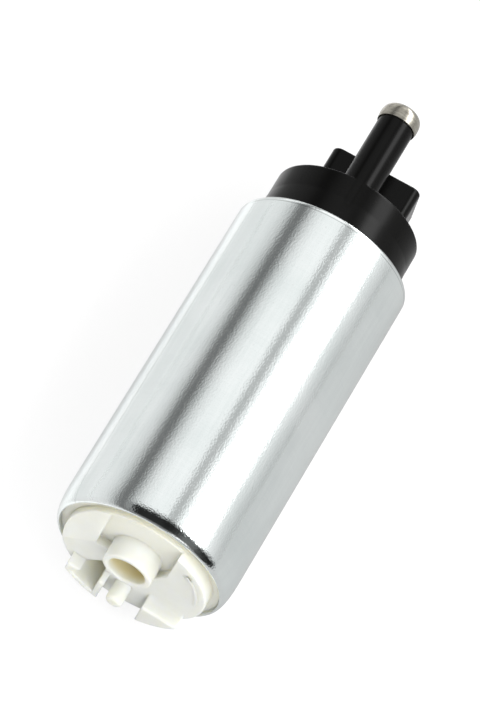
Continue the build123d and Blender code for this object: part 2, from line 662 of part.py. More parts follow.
# Commutator: a moulded base, carbon segments on its face, a hook on each for the coils
with BuildPart() as commutator_base:
    with BuildSketch(Plane.XZ):
        band(high_turn_x - RUN_GAP, commutator_x, shaft_hole_r, COMMUTATOR_NECK / 2)
        band(commutator_x, carbon_x, shaft_hole_r, commutator_r)
        band(carbon_x, face_x, shaft_hole_r, COMMUTATOR_HUB / 2)
    revolve(axis=Axis.X)
pieces["commutator_base"] = commutator_base

with BuildPart() as commutator_segments:
    with BuildSketch(Plane.YZ.offset(carbon_x)):
        Circle(commutator_r)
        Circle(CARBON_BORE / 2, mode=Mode.SUBTRACT)
        with PolarLocations(commutator_r / 2, SLOTS):
            Rectangle(commutator_r, CARBON_CUT, mode=Mode.SUBTRACT)
    extrude(amount=CARBON_THICK)
pieces["commutator_segments"] = commutator_segments

with BuildPart() as commutator_hooks:
    with BuildSketch(Plane.YZ.offset(commutator_x - COMMUTATOR_FLANGE / 2)):
        with PolarLocations(commutator_r + HOOK_THICK / 2 + SHAFT_FIT, SLOTS, start_angle=180 / SLOTS):
            Rectangle(HOOK_THICK, HOOK_WIDTH)
    extrude(amount=COMMUTATOR_FLANGE * 1.5 + CARBON_THICK / 2)
    with BuildSketch(Plane.YZ.offset(commutator_x - COMMUTATOR_FLANGE / 2)):
        with PolarLocations(commutator_r - HOOK_WIDTH / 2 + HOOK_THICK, SLOTS, start_angle=180 / SLOTS):
            Rectangle(HOOK_WIDTH, HOOK_WIDTH)
    extrude(amount=HOOK_THICK)
pieces["commutator_hooks"] = commutator_hooks

# Field: two magnets inside the sleeve, pushed apart by two wire clips
magnet_x = (stack_x + stack_end - MAGNET_LENGTH) / 2
half_arc = radians(MAGNET_ARC / 2)
for name, side in (("magnet_left", 1), ("magnet_right", -1)):
    with BuildPart() as magnet:
        with BuildSketch(Plane.YZ.offset(magnet_x)):
            Circle(magnet_r)
            Circle(magnet_r - MAGNET_WALL, mode=Mode.SUBTRACT)
            with BuildLine():
                reach = 2 * side * can_r
                Polyline((0, 0), (reach * cos(half_arc), reach * sin(half_arc)),
                         (reach, 0), (reach * cos(half_arc), -reach * sin(half_arc)), close=True)
            make_face(mode=Mode.INTERSECT)
        extrude(amount=MAGNET_LENGTH)
    pieces[name] = magnet

clip_wire_r = CLIP_WIRE / 2
clip_r = magnet_r - MAGNET_WALL / 2
clip_half = 90 - MAGNET_ARC / 2 - degrees(asin((clip_wire_r + MAGNET_FIT) / clip_r))
for name, middle in (("magnet_clip_top", 90), ("magnet_clip_bottom", 270)):
    leg_angles = (radians(middle - clip_half), radians(middle + clip_half))
    leg_places = [(clip_r * cos(a), clip_r * sin(a)) for a in leg_angles]
    first_leg = Vector(0, cos(leg_angles[0]), sin(leg_angles[0]))
    leg_plane = Plane(origin=(0, 0, 0), x_dir=(1, 0, 0), z_dir=Vector(1, 0, 0).cross(first_leg))
    with BuildPart() as clip:
        with BuildSketch(Plane.YZ.offset(magnet_x)):
            with Locations(*leg_places):
                Circle(clip_wire_r)
        extrude(amount=MAGNET_LENGTH)
        with BuildSketch(leg_plane):
            with Locations((magnet_x + MAGNET_LENGTH, clip_r)):
                Circle(clip_wire_r)
        revolve(axis=Axis.X, revolution_arc=2 * clip_half)
        with Locations(*[(magnet_x + MAGNET_LENGTH, side, up) for side, up in leg_places]):
            Sphere(clip_wire_r)
    pieces[name] = clip

# Outlet cap: plug, neck, cone and round top in one turned shape, then what stands on and in it
holder_start = face_x + HOLDER_GAP
holder_hole = (BRUSH_WIDTH + 2 * BRUSH_FIT, BRUSH_BREADTH + 2 * BRUSH_FIT)
slot_side = (brush_side + choke_side) / 2
shroud_up = shroud_top - shroud_depth / 2
blade_slot = (BLADE_THICK + 2 * BLADE_FIT, BLADE_WIDTH + 2 * BLADE_FIT)
valve_x = roof_x - VALVE_DEPTH
throat_x = roof_x + VALVE_SHOULDER
relief_x = roof_x - RELIEF_DEPTH
relief_cone_x = relief_x + RELIEF_SEAT_LENGTH
relief_cone = (RELIEF_BORE - RELIEF_SEAT_BORE) / 2

with BuildPart() as outlet_cap:
    with BuildSketch(Plane.XZ):
        with BuildLine():
            neck_r = cap_lip_r - CAP_NECK_FIT
            neck_end = outlet_end + CAP_NECK_HEIGHT
            Polyline((skirt_x, cavity_r), (skirt_x, body_r), (outlet_end - CAN_WALL, body_r),
                     (outlet_end - CAN_WALL, neck_r), (neck_end, neck_r),
                     (neck_end + CAP_FLARE_HEIGHT, cap_r), (cap_top, cap_r), (cap_top, 0),
                     (roof_x, 0), (roof_x, cavity_r), close=True)
        make_face()
        band(cap_groove_x - groove_half, cap_groove_x + groove_half, groove_r, can_r, Mode.SUBTRACT)
    revolve(axis=Axis.X)
    fillet(outlet_cap.edges().group_by(Axis.X)[-1], CAP_RIM_ROUND)
    # Hub for the upper bush, and the two brush holders
    with BuildSketch(Plane.YZ.offset(hub_x)):
        Circle(HUB_DIAMETER / 2)
    extrude(amount=roof_x - hub_x)
    with BuildSketch(Plane.YZ.offset(holder_start)):
        with Locations((brush_side, 0), (-brush_side, 0)):
            Rectangle(holder_hole[0] + 2 * HOLDER_WALL, holder_hole[1] + 2 * HOLDER_WALL)
    extrude(amount=roof_x - holder_start)
    with BuildSketch(Plane.YZ.offset(holder_start)):
        with Locations((brush_side, 0), (-brush_side, 0)):
            Rectangle(*holder_hole)
        with Locations((slot_side, -BRUSH_BREADTH), (-slot_side, -BRUSH_BREADTH)):
            Rectangle(LEAD_SLOT, BRUSH_BREADTH)
    extrude(amount=roof_x - holder_start, mode=Mode.SUBTRACT)
    with BuildSketch(Plane.YZ.offset(holder_start)):
        Circle(TOP_BUSH_OUTSIDE / 2 + PRESS_GAP)
    extrude(amount=top_bush_x + TOP_BUSH_LENGTH - holder_start, mode=Mode.SUBTRACT)
    with BuildSketch(Plane.YZ.offset(hub_x)):
        Circle(shaft_r + BUSH_HOUSING / 2)
    extrude(amount=shaft_end + WASHER_THICK - hub_x, mode=Mode.SUBTRACT)
    # Bosses for the two valves, below the roof
    with BuildSketch(Plane.YZ.offset(valve_x)):
        with Locations((TUBE_SIDE, tube_up)):
            Circle(VALVE_BOSS / 2)
    extrude(amount=VALVE_DEPTH)
    with BuildSketch(Plane.YZ.offset(relief_x)):
        with Locations((0, -relief_drop)):
            Circle(RELIEF_BOSS / 2)
    extrude(amount=RELIEF_DEPTH)
    # Connector shroud, outlet tube and the neck that the ferrule sits on
    with BuildSketch(Plane.YZ.offset(cap_top)):
        with Locations((SHROUD_SIDE, shroud_up)):
            RectangleRounded(SHROUD_WIDTH, shroud_depth, SHROUD_CORNER)
    extrude(amount=SHROUD_RISE)
    fillet(outlet_cap.edges().group_by(Axis.X)[-1], SHROUD_EDGE)
    with BuildSketch(Plane.YZ.offset(cap_top)):
        with Locations((SHROUD_SIDE, shroud_up)):
            RectangleRounded(SHROUD_WIDTH - 2 * SHROUD_WALL, shroud_depth - 2 * SHROUD_WALL,
                             SHROUD_CORNER - SHROUD_WALL)
    extrude(amount=SHROUD_RISE, mode=Mode.SUBTRACT)
    with BuildSketch(Plane.YZ.offset(outlet_end + CAN_WALL)):
        with Locations((TUBE_SIDE, tube_up)):
            Circle(tube_r)
    extrude(amount=tube_end - outlet_end - CAN_WALL)
    with BuildSketch(Plane.YZ.offset(tube_end)):
        with Locations((TUBE_SIDE, tube_up)):
            Circle(FERRULE_NECK / 2)
    extrude(amount=FERRULE_HEIGHT - 2 * FERRULE_WALL)
    # Ways for the fuel: through the check valve to the tube, and out past the relief valve
    with BuildSketch(beside_axis(TUBE_SIDE, tube_up)):
        band(valve_x, throat_x, 0, VALVE_BORE / 2)
        band(throat_x, throat_x + VALVE_THROAT_LENGTH, 0, VALVE_THROAT / 2)
        band(throat_x + VALVE_THROAT_LENGTH, tube_end + FERRULE_HEIGHT, 0, TUBE_BORE / 2)
    revolve(axis=line_along(TUBE_SIDE, tube_up), mode=Mode.SUBTRACT)
    with BuildSketch(beside_axis(0, -relief_drop)):
        band(relief_x, relief_cone_x, 0, RELIEF_SEAT_BORE / 2)
        band(relief_cone_x + relief_cone, cap_top, 0, RELIEF_BORE / 2)
        with BuildLine():
            Polyline((relief_cone_x, 0), (relief_cone_x, RELIEF_SEAT_BORE / 2),
                     (relief_cone_x + relief_cone, RELIEF_BORE / 2), (relief_cone_x + relief_cone, 0),
                     close=True)
        make_face()
    revolve(axis=line_along(0, -relief_drop), mode=Mode.SUBTRACT)
    # Seats for the terminals' feet, from brush to blade, and slots for their blades
    with BuildSketch(Plane.YZ.offset(foot_x - BLADE_FIT)):
        for side in (1, -1):
            blade_y = SHROUD_SIDE + side * BLADE_PITCH / 2
            with Locations(((blade_y + side * brush_side) / 2, 0)):
                Rectangle(abs(side * brush_side - blade_y) + blade_slot[0], blade_slot[1])
    extrude(amount=BLADE_THICK + BLADE_FIT, mode=Mode.SUBTRACT)
    with BuildSketch(Plane.YZ.offset(foot_x - BLADE_FIT)):
        with Locations((SHROUD_SIDE - BLADE_PITCH / 2, 0), (SHROUD_SIDE + BLADE_PITCH / 2, 0)):
            Rectangle(*blade_slot)
    extrude(amount=cap_top - foot_x + BLADE_FIT, mode=Mode.SUBTRACT)
pieces["outlet_cap"] = outlet_cap

# Ferrule: a domed metal ring over the end of the outlet tube
with BuildPart() as outlet_ferrule:
    with BuildSketch(beside_axis(TUBE_SIDE, tube_up)):
        with BuildLine():
            dome_x = tube_end + FERRULE_HEIGHT
            neck_x = dome_x - 2 * FERRULE_WALL + PRESS_GAP
            neck_r = FERRULE_NECK / 2 + PRESS_GAP
            side = Polyline((tube_end, neck_r), (tube_end, FERRULE_RIM / 2))
            dome = Spline(side @ 1, (tube_end + FERRULE_HEIGHT * 0.3, FERRULE_BULGE / 2),
                          (dome_x, FERRULE_TOP / 2), tangents=((1, 0.25), (0.2, -1)))
            Polyline(dome @ 1, (dome_x, TUBE_BORE / 2), (neck_x, TUBE_BORE / 2), (neck_x, neck_r), side @ 0)
        make_face()
    revolve(axis=line_along(TUBE_SIDE, tube_up))
pieces["outlet_ferrule"] = outlet_ferrule

# Check valve in the outlet: a seat pressed into its bore, a poppet and a spring
seat_end = valve_x + VALVE_SEAT_LENGTH
cone = (POPPET_NOSE + POPPET_FLANGE) / 4 - VALVE_SEAT_BORE / 2
nose_x = seat_end - cone + POPPET_NOSE / sqrt(2) - VALVE_SEAT_BORE / 2 + SEAT_GAP
with BuildPart() as check_seat:
    with BuildSketch(beside_axis(TUBE_SIDE, tube_up)):
        with BuildLine():
            Polyline((valve_x, VALVE_SEAT_BORE / 2), (seat_end - cone, VALVE_SEAT_BORE / 2),
                     (seat_end, VALVE_SEAT_BORE / 2 + cone), (seat_end, VALVE_BORE / 2 - PRESS_GAP),
                     (valve_x, VALVE_BORE / 2 - PRESS_GAP), close=True)
        make_face()
    revolve(axis=line_along(TUBE_SIDE, tube_up))
pieces["check_seat"] = check_seat

flange_end = nose_x + POPPET_FLANGE_THICK
with BuildPart() as check_poppet:
    with BuildSketch(beside_axis(TUBE_SIDE, tube_up)):
        with BuildLine():
            nose = ThreePointArc((nose_x, POPPET_NOSE / 2),
                                 (nose_x - POPPET_NOSE / 2 / sqrt(2), POPPET_NOSE / 2 / sqrt(2)),
                                 (nose_x - POPPET_NOSE / 2, 0))
            Polyline(nose @ 1, (flange_end + POPPET_STEM_LENGTH, 0),
                     (flange_end + POPPET_STEM_LENGTH, POPPET_STEM / 2), (flange_end, POPPET_STEM / 2),
                     (flange_end, POPPET_FLANGE / 2), (nose_x, POPPET_FLANGE / 2), nose @ 0)
        make_face()
    revolve(axis=line_along(TUBE_SIDE, tube_up))
pieces["check_poppet"] = check_poppet
pieces["check_spring"] = wound_wire(flange_end, throat_x, CHECK_SPRING_DIAMETER, CHECK_SPRING_WIRE,
                                    CHECK_SPRING_TURNS, TUBE_SIDE, tube_up)

# Relief valve: a ball on the cap's own seat, held by a spring and a pressed-in ring
ball_r = RELIEF_BALL / 2
ball_x = relief_cone_x + RELIEF_BALL / sqrt(2) - RELIEF_SEAT_BORE / 2 + SEAT_GAP
relief_wire_r = RELIEF_SPRING_WIRE / 2
ball_reach = sqrt((ball_r + relief_wire_r + SPRING_GAP) ** 2 - (RELIEF_SPRING_DIAMETER / 2) ** 2)
retainer_x = cap_top - RELIEF_RECESS - RELIEF_RETAINER
with BuildPart() as relief_ball:
    with Locations((ball_x, 0, -relief_drop)):
        Sphere(ball_r)
pieces["relief_ball"] = relief_ball
pieces["relief_spring"] = wound_wire(ball_x + ball_reach - relief_wire_r - SPRING_GAP, retainer_x,
                                     RELIEF_SPRING_DIAMETER, RELIEF_SPRING_WIRE, RELIEF_SPRING_TURNS,
                                     0, -relief_drop)

with BuildPart() as relief_retainer:
    with BuildSketch(Plane.YZ.offset(retainer_x)):
        with Locations((0, -relief_drop)):
            Circle(RELIEF_BORE / 2 - PRESS_GAP)
            Circle(RELIEF_VENT / 2, mode=Mode.SUBTRACT)
    extrude(amount=RELIEF_RETAINER)
pieces["relief_retainer"] = relief_retainer

# Brushes with their springs, leads, chokes and terminals, the same on both sides of the axis
core_x = face_x + CHOKE_START
for word, side in (("left", 1), ("right", -1)):
    brush_y = side * brush_side
    choke_y = side * choke_side
    blade_y = SHROUD_SIDE + side * BLADE_PITCH / 2
    with BuildPart() as brush:
        with BuildSketch(Plane.YZ.offset(brush_x)):
            with Locations((brush_y, 0)):
                Rectangle(BRUSH_WIDTH, BRUSH_BREADTH)
        extrude(amount=BRUSH_LENGTH)
    pieces[f"brush_{word}"] = brush
    pieces[f"brush_spring_{word}"] = wound_wire(brush_end, foot_x, BRUSH_SPRING_DIAMETER, BRUSH_SPRING_WIRE,
                                                BRUSH_SPRING_TURNS, brush_y, 0)

    with BuildPart() as lead:
        with BuildLine():
            route = Spline((brush_end - LEAD_UP, brush_y, -BRUSH_BREADTH / 2),
                           (core_x - LEAD_DIAMETER, (brush_y + choke_y) / 2, -choke_drop + LEAD_SLOT / 2),
                           (core_x, choke_y, -choke_drop), tangents=((0, 0, -1), (1, 0, 0)))
        with BuildSketch(Plane(origin=route @ 0, z_dir=route % 0)):
            Circle(LEAD_DIAMETER / 2)
        sweep(path=route)
    pieces[f"brush_lead_{word}"] = lead

    with BuildPart() as core:
        with BuildSketch(Plane.YZ.offset(core_x)):
            with Locations((choke_y, -choke_drop)):
                Circle(CHOKE_CORE / 2)
        extrude(amount=choke_length)
    pieces[f"choke_core_{word}"] = core
    pieces[f"choke_coil_{word}"] = wound_wire(core_x, foot_x, CHOKE_COIL_DIAMETER, CHOKE_COIL_WIRE,
                                              CHOKE_COIL_TURNS, choke_y, -choke_drop)

    with BuildPart() as terminal:
        with BuildSketch(Plane.YZ.offset(foot_x)):
            with Locations((brush_y, 0)):
                Rectangle(BRUSH_WIDTH, BRUSH_BREADTH)
            with Locations(((blade_y + brush_y) / 2, 0)):
                Rectangle(abs(brush_y - blade_y) + BLADE_THICK, BLADE_WIDTH)
            with Locations((choke_y, -choke_drop / 2)):
                Rectangle(ARM_WIDTH, choke_drop + ARM_WIDTH)
        extrude(amount=BLADE_THICK)
        with BuildSketch(Plane.YZ.offset(foot_x)):
            with Locations((blade_y, 0)):
                Rectangle(BLADE_THICK, BLADE_WIDTH)
        extrude(amount=cap_top + SHROUD_RISE - BLADE_STOP - foot_x)
    pieces[f"terminal_{word}"] = terminal

os.makedirs("parts", exist_ok=True)
for label, piece in pieces.items():
    piece.part.label = label
    export_step(piece.part, f"parts/{label}.step")
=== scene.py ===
"""Studio scene for an in-tank fuel pump that lies on its side on a pale floor.

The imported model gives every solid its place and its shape. This script dresses each solid in its own
finish, and sets up the light and the camera. Lengths are in millimetres where nothing else is said.
"""

from __future__ import annotations

import json
import logging
import math
from dataclasses import dataclass, field
from enum import Enum
from typing import Any, Mapping, Optional, Sequence, Union

import bmesh
import bpy
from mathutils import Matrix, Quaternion, Vector

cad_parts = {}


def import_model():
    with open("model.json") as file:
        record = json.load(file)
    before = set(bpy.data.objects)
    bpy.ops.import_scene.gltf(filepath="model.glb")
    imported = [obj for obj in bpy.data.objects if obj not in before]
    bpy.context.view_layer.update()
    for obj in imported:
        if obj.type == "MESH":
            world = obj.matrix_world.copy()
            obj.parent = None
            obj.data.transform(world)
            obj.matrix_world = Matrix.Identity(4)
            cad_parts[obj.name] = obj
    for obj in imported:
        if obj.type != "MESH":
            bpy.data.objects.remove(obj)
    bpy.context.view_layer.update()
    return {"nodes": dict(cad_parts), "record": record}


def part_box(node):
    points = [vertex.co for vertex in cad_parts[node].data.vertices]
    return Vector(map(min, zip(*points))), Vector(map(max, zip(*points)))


LOG = logging.getLogger("fuel_pump")
MM = 0.001
Colour = tuple[float, float, float]
Triple = tuple[float, float, float]
Pair = tuple[float, float]
WHITE: Colour = (1.0, 1.0, 1.0)
EVEN_BAND: Pair = (0.3, 0.7)  # where soft noise turns from its lower to its upper tone


@dataclass(frozen=True)
class Pattern:
    """Soft noise: its patches per millimetre, its finer layers and how it is stretched."""

    scale: float
    detail: float = 3.0
    rough: float = 0.55
    stretch: Optional[Triple] = None


@dataclass(frozen=True)
class Relief:
    """How far a height from 0 to 1 stands out, and how much of it shows."""

    depth: float
    strength: float


@dataclass(frozen=True)
class Tint:
    """A colour, and how much of it is laid over another colour."""

    colour: Colour
    amount: float


class Wire:
    """One output of a shader node, which can be used in Python arithmetic."""

    def __init__(self, net: "Net", socket: bpy.types.NodeSocket) -> None:
        """Keep the output and the net that it belongs to."""
        self.net = net
        self.socket = socket

    def __add__(self, other: "Value") -> "Wire":
        """Return this plus other."""
        return self.net.maths("ADD", self, other)

    def __radd__(self, other: "Value") -> "Wire":
        """Return other plus this."""
        return self.net.maths("ADD", other, self)

    def __sub__(self, other: "Value") -> "Wire":
        """Return this less other."""
        return self.net.maths("SUBTRACT", self, other)

    def __rsub__(self, other: "Value") -> "Wire":
        """Return other less this."""
        return self.net.maths("SUBTRACT", other, self)

    def __mul__(self, other: "Value") -> "Wire":
        """Return this times other."""
        return self.net.maths("MULTIPLY", self, other)

    def __rmul__(self, other: "Value") -> "Wire":
        """Return other times this."""
        return self.net.maths("MULTIPLY", other, self)

    def __truediv__(self, other: "Value") -> "Wire":
        """Return this divided by other."""
        return self.net.maths("DIVIDE", self, other)

    def __pow__(self, other: "Value") -> "Wire":
        """Return this to the power other."""
        return self.net.maths("POWER", self, other)

    def __abs__(self) -> "Wire":
        """Return this without its sign."""
        return self.net.maths("ABSOLUTE", self, 0.0)

    def step(self, low: float, high: float, start: float = 0.0, end: float = 1.0) -> "Wire":
        """Return a smooth step over this value.

        Args:
            low: Where the step begins.
            high: Where it ends.
            start: The result before low.
            end: The result after high.

        Returns:
            The stepped value.
        """
        return self.net.node(
            "ShaderNodeMapRange",
            {"interpolation_type": "SMOOTHSTEP"},
            {"Value": self, "From Min": low, "From Max": high, "To Min": start, "To Max": end},
        )

    def fall(self, low: float, high: float) -> "Wire":
        """Return 1 before low and 0 after high."""
        return self.step(low, high, 1.0, 0.0)

    def ridge(self, centre: float, half: float, soft: float) -> "Wire":
        """Return 1 within half of centre, and fall to 0 over soft on both sides."""
        return abs(self - centre).fall(half, half + soft)


Value = Union[Wire, float, Sequence[float]]


def weighed(wires: Sequence[Wire], weights: Sequence[float]) -> Wire:
    """Add up several wires.

    Args:
        wires: The wires.
        weights: What each is multiplied by.

    Returns:
        The sum.
    """
    total = wires[0] * weights[0]
    for wire, weight in zip(wires[1:], weights[1:]):
        total = total + wire * weight
    return total


class Net:
    """A node tree that is filled through one method."""

    def __init__(self, tree: bpy.types.NodeTree) -> None:
        """Empty the tree and keep it."""
        self.tree = tree
        tree.nodes.clear()

    def node(
        self,
        kind: str,
        settings: Optional[Mapping[str, Any]] = None,
        sockets: Optional[Mapping[Union[str, int], Value]] = None,
        out: Union[str, int] = 0,
    ) -> Optional[Wire]:
        """Add one node.

        Args:
            kind: The node's type.
            settings: Its own properties, and "stops" for a colour ramp.
            sockets: A value or a wire for each input that isn't left as it is.
            out: Which output is wanted.

        Returns:
            The wanted output, or None for a node that has no outputs.
        """
        made = self.tree.nodes.new(kind)
        for name, value in (settings or {}).items():
            if name == "stops":
                self.set_stops(made, value)
            else:
                setattr(made, name, value)
        for key, value in (sockets or {}).items():
            if isinstance(value, Wire):
                self.tree.links.new(value.socket, made.inputs[key])
            else:
                made.inputs[key].default_value = value
        return Wire(self, made.outputs[out]) if len(made.outputs) else None

    @staticmethod
    def set_stops(ramp: bpy.types.Node, stops: Sequence[Pair]) -> None:
        """Give a grey ramp its stops.

        Args:
            ramp: The ramp's node.
            stops: A position and a level for each stop.
        """
        elements = ramp.color_ramp.elements
        while len(elements) < len(stops):
            elements.new(1.0)
        for element, (position, level) in zip(elements, stops):
            element.position = position
            element.color = (level, level, level, 1.0)

    def maths(self, operation: str, first: Value, second: Value) -> Wire:
        """Return the result of one Math node."""
        return self.node("ShaderNodeMath", {"operation": operation}, {0: first, 1: second})

    def blend(self, factor: Value, first: Union[Wire, Colour], second: Union[Wire, Colour]) -> Wire:
        """Return a colour between first, at factor 0, and second, at factor 1."""
        ends = [end if isinstance(end, Wire) else (*end, 1.0) for end in (first, second)]
        return self.node("ShaderNodeMix", {"data_type": "RGBA"}, {0: factor, 6: ends[0], 7: ends[1]}, 2)

    def tinted(self, base: Union[Wire, Colour], mask: Wire, tint: Tint) -> Wire:
        """Return base with a tint laid over it where mask is 1."""
        return self.blend(mask * tint.amount, base, tint.colour)

    def place(self, centre: Triple = (0.0, 0.0, 0.0)) -> Wire:
        """Return the object's coordinates in millimetres.

        Args:
            centre: The point that becomes the pattern's origin.

        Returns:
            The coordinates as a vector.
        """
        return self.node(
            "ShaderNodeMapping",
            {},
            {
                "Vector": self.node("ShaderNodeTexCoord", out="Object"),
                "Location": [-part for part in centre],
                "Scale": [1 / MM] * 3,
            },
        )

    def split(self, vector: Wire) -> tuple[Wire, Wire, Wire]:
        """Take a vector apart.

        Args:
            vector: The vector.

        Returns:
            Its three parts.
        """
        made = self.tree.nodes.new("ShaderNodeSeparateXYZ")
        self.tree.links.new(vector.socket, made.inputs[0])
        return tuple(Wire(self, socket) for socket in made.outputs)

    def join(self, x: Value, y: Value, z: Value) -> Wire:
        """Return a vector made of three numbers."""
        return self.node("ShaderNodeCombineXYZ", {}, {0: x, 1: y, 2: z})

    def turned(self, centre: Pair = (0.0, 0.0)) -> tuple[Wire, Wire, Wire]:
        """Return station, radius and angle about a line along X, which is at centre in Y and Z."""
        x, y, z = self.split(self.place((0.0, *centre)))
        return x, self.maths("SQRT", y * y + z * z, 0.0), self.maths("ARCTAN2", z, y)

    def noise(self, vector: Wire, pattern: Pattern) -> Wire:
        """Return soft noise.

        Args:
            vector: Where it is read, in millimetres.
            pattern: How it looks.

        Returns:
            The noise, from 0 to 1.
        """
        if pattern.stretch is not None:
            settings = {"operation": "MULTIPLY"}
            vector = self.node("ShaderNodeVectorMath", settings, {0: vector, 1: pattern.stretch})
        look = {"Scale": pattern.scale, "Detail": pattern.detail, "Roughness": pattern.rough}
        return self.node("ShaderNodeTexNoise", {}, {"Vector": vector} | look)

    def specks(self, vector: Wire, scale: float, size: Pair) -> Wire:
        """Return 1 on small round specks.

        Args:
            vector: Where they are read, in millimetres.
            scale: Specks per millimetre.
            size: How far from its middle a speck begins to fade and where it ends, in parts of
                the spacing of the specks.

        Returns:
            1 on the specks and 0 between them.
        """
        return self.node("ShaderNodeTexVoronoi", {}, {"Vector": vector, "Scale": scale}).fall(*size)

    def raised(self, layers: Sequence[tuple[Wire, Relief]], base: Optional[Wire] = None) -> Wire:
        """Return a normal that one or more heights raise.

        Args:
            layers: Each height from 0 to 1, with its relief.
            base: A normal that they add to.

        Returns:
            The normal.
        """
        normal = base
        for height, relief in layers:
            sockets = {"Strength": relief.strength, "Distance": relief.depth * MM, "Height": height}
            under = {} if normal is None else {"Normal": normal}
            normal = self.node("ShaderNodeBump", {}, sockets | under)
        return normal

    def softened(self, radius: float) -> Wire:
        """Return a normal that looks rounded near sharp edges."""
        return self.node("ShaderNodeBevel", {"samples": 6}, {"Radius": radius * MM})


class Grain(Enum):
    """Which way the tool marks of a metal run."""

    AROUND = "around"
    ALONG = "along"
    FACED = "faced"
    NONE = "none"


@dataclass(frozen=True)
class Finish:
    """A finish by its name. Each kind of finish says how its surface varies."""

    name: str

    def surface(self, net: Net) -> dict[str, Value]:
        """Return the values and wires of the shader's sockets."""
        raise NotImplementedError

    def material(self) -> bpy.types.Material:
        """Return the finish's material, which is made at its first use.

        Returns:
            The material.
        """
        label = f"{self.name}_finish"
        found = bpy.data.materials.get(label)
        if found is not None:
            return found
        material = bpy.data.materials.new(label)
        material.use_nodes = True
        net = Net(material.node_tree)
        shader = net.node("ShaderNodeBsdfPrincipled", {}, self.surface(net))
        net.node("ShaderNodeOutputMaterial", {}, {"Surface": shader})
        return material

    def wear(self, thing: bpy.types.Object) -> None:
        """Put this finish on every slot of an object.

        Args:
            thing: The object.
        """
        material = self.material()
        if not thing.material_slots:
            thing.data.materials.append(material)
        for place in thing.material_slots:
            place.material = material


@dataclass(frozen=True)
class PlatedCan(Finish):
    """Bright plating on a drawn steel can, with fine grain, a seam and duller rolled lips.

    Reaches are measured back from the can's end. The crest and the groove are at the outlet end. The
    dark line along the groove is painted shade.
    """

    radius: float
    half_length: float
    light: Colour = (0.915, 0.955, 0.95)
    dark: Colour = (0.805, 0.86, 0.852)
    tone_weights: Triple = (0.55, 0.25, 0.2)
    clouds: Pattern = Pattern(0.07, 4.0)
    drawn: Pattern = Pattern(1.0, 2.0, stretch=(0.08, 1.1, 0.3))
    rings: Pattern = Pattern(1.0, 3.0, 0.6, (6.0, 0.05, 6.0))
    rings_relief: Relief = Relief(0.002, 0.4)
    grain: Pattern = Pattern(2.6, 1.0, 0.6)
    grain_relief: Relief = Relief(0.032, 0.7)
    waves: Pattern = Pattern(0.30, 3.0, stretch=(0.9, 0.16, 1.0))
    waves_relief: Relief = Relief(0.10, 0.35)
    seam_angle: float = 31.0
    seam_half: float = 0.004
    seam_soft: float = 0.006
    seam_tint: Tint = Tint((0.45, 0.47, 0.46), 0.35)
    seam_relief: Relief = Relief(0.05, 0.7)
    specks_per_mm: float = 0.35
    speck_size: Pair = (0.03, 0.10)
    speck_tint: Tint = Tint((0.60, 0.62, 0.60), 0.20)
    lip_reach: Pair = (1.2, 0.3)
    lip_tint: Tint = Tint((0.74, 0.75, 0.745), 0.25)
    crest_reach: Pair = (0.7, 0.35)
    crest_tint: Tint = Tint((0.40, 0.42, 0.415), 0.7)
    # painted shade: a dark line along the groove near the outlet end
    groove_reach: float = 1.1
    groove_half: float = 0.04
    groove_soft: float = 0.10
    painted_groove_shade: Tint = Tint((0.30, 0.32, 0.32), 0.5)
    roughness: float = 0.045
    roughening: Triple = (0.05, 0.02, 0.05)

    def surface(self, net: Net) -> dict[str, Value]:
        """Return the plating's sockets.

        Args:
            net: The material's node tree.

        Returns:
            The value or the wire of each socket.
        """
        x, radius, angle = net.turned()
        wrapped = net.join(x, angle * self.radius, radius)
        clouds = net.noise(wrapped, self.clouds)
        drawn = net.noise(wrapped, self.drawn)
        rings = net.noise(wrapped, self.rings)
        grain = net.noise(wrapped, self.grain)
        waves = net.noise(wrapped, self.waves)
        specks = net.specks(wrapped, self.specks_per_mm, self.speck_size)
        seam = angle.ridge(math.radians(self.seam_angle), self.seam_half, self.seam_soft)
        lip = abs(x).step(*(self.half_length - reach for reach in self.lip_reach))
        crest = x.step(*(self.half_length - reach for reach in self.crest_reach))
        groove = x.ridge(self.half_length - self.groove_reach, self.groove_half, self.groove_soft)
        tone = weighed((clouds, drawn, rings), self.tone_weights).step(*EVEN_BAND)
        colour = net.blend(tone, self.dark, self.light)
        for mask, tint in (
            (seam, self.seam_tint),
            (specks, self.speck_tint),
            (lip, self.lip_tint),
            (crest, self.crest_tint),
            # painted shade along the groove
            (groove, self.painted_groove_shade),
        ):
            colour = net.tinted(colour, mask, tint)
        layers = (
            (grain, self.grain_relief),
            (rings, self.rings_relief),
            (waves, self.waves_relief),
            (seam, self.seam_relief),
        )
        return {
            "Base Color": colour,
            "Metallic": 1.0,
            "Roughness": self.roughness + weighed((grain, rings, lip), self.roughening),
            "Normal": net.raised(layers),
        }


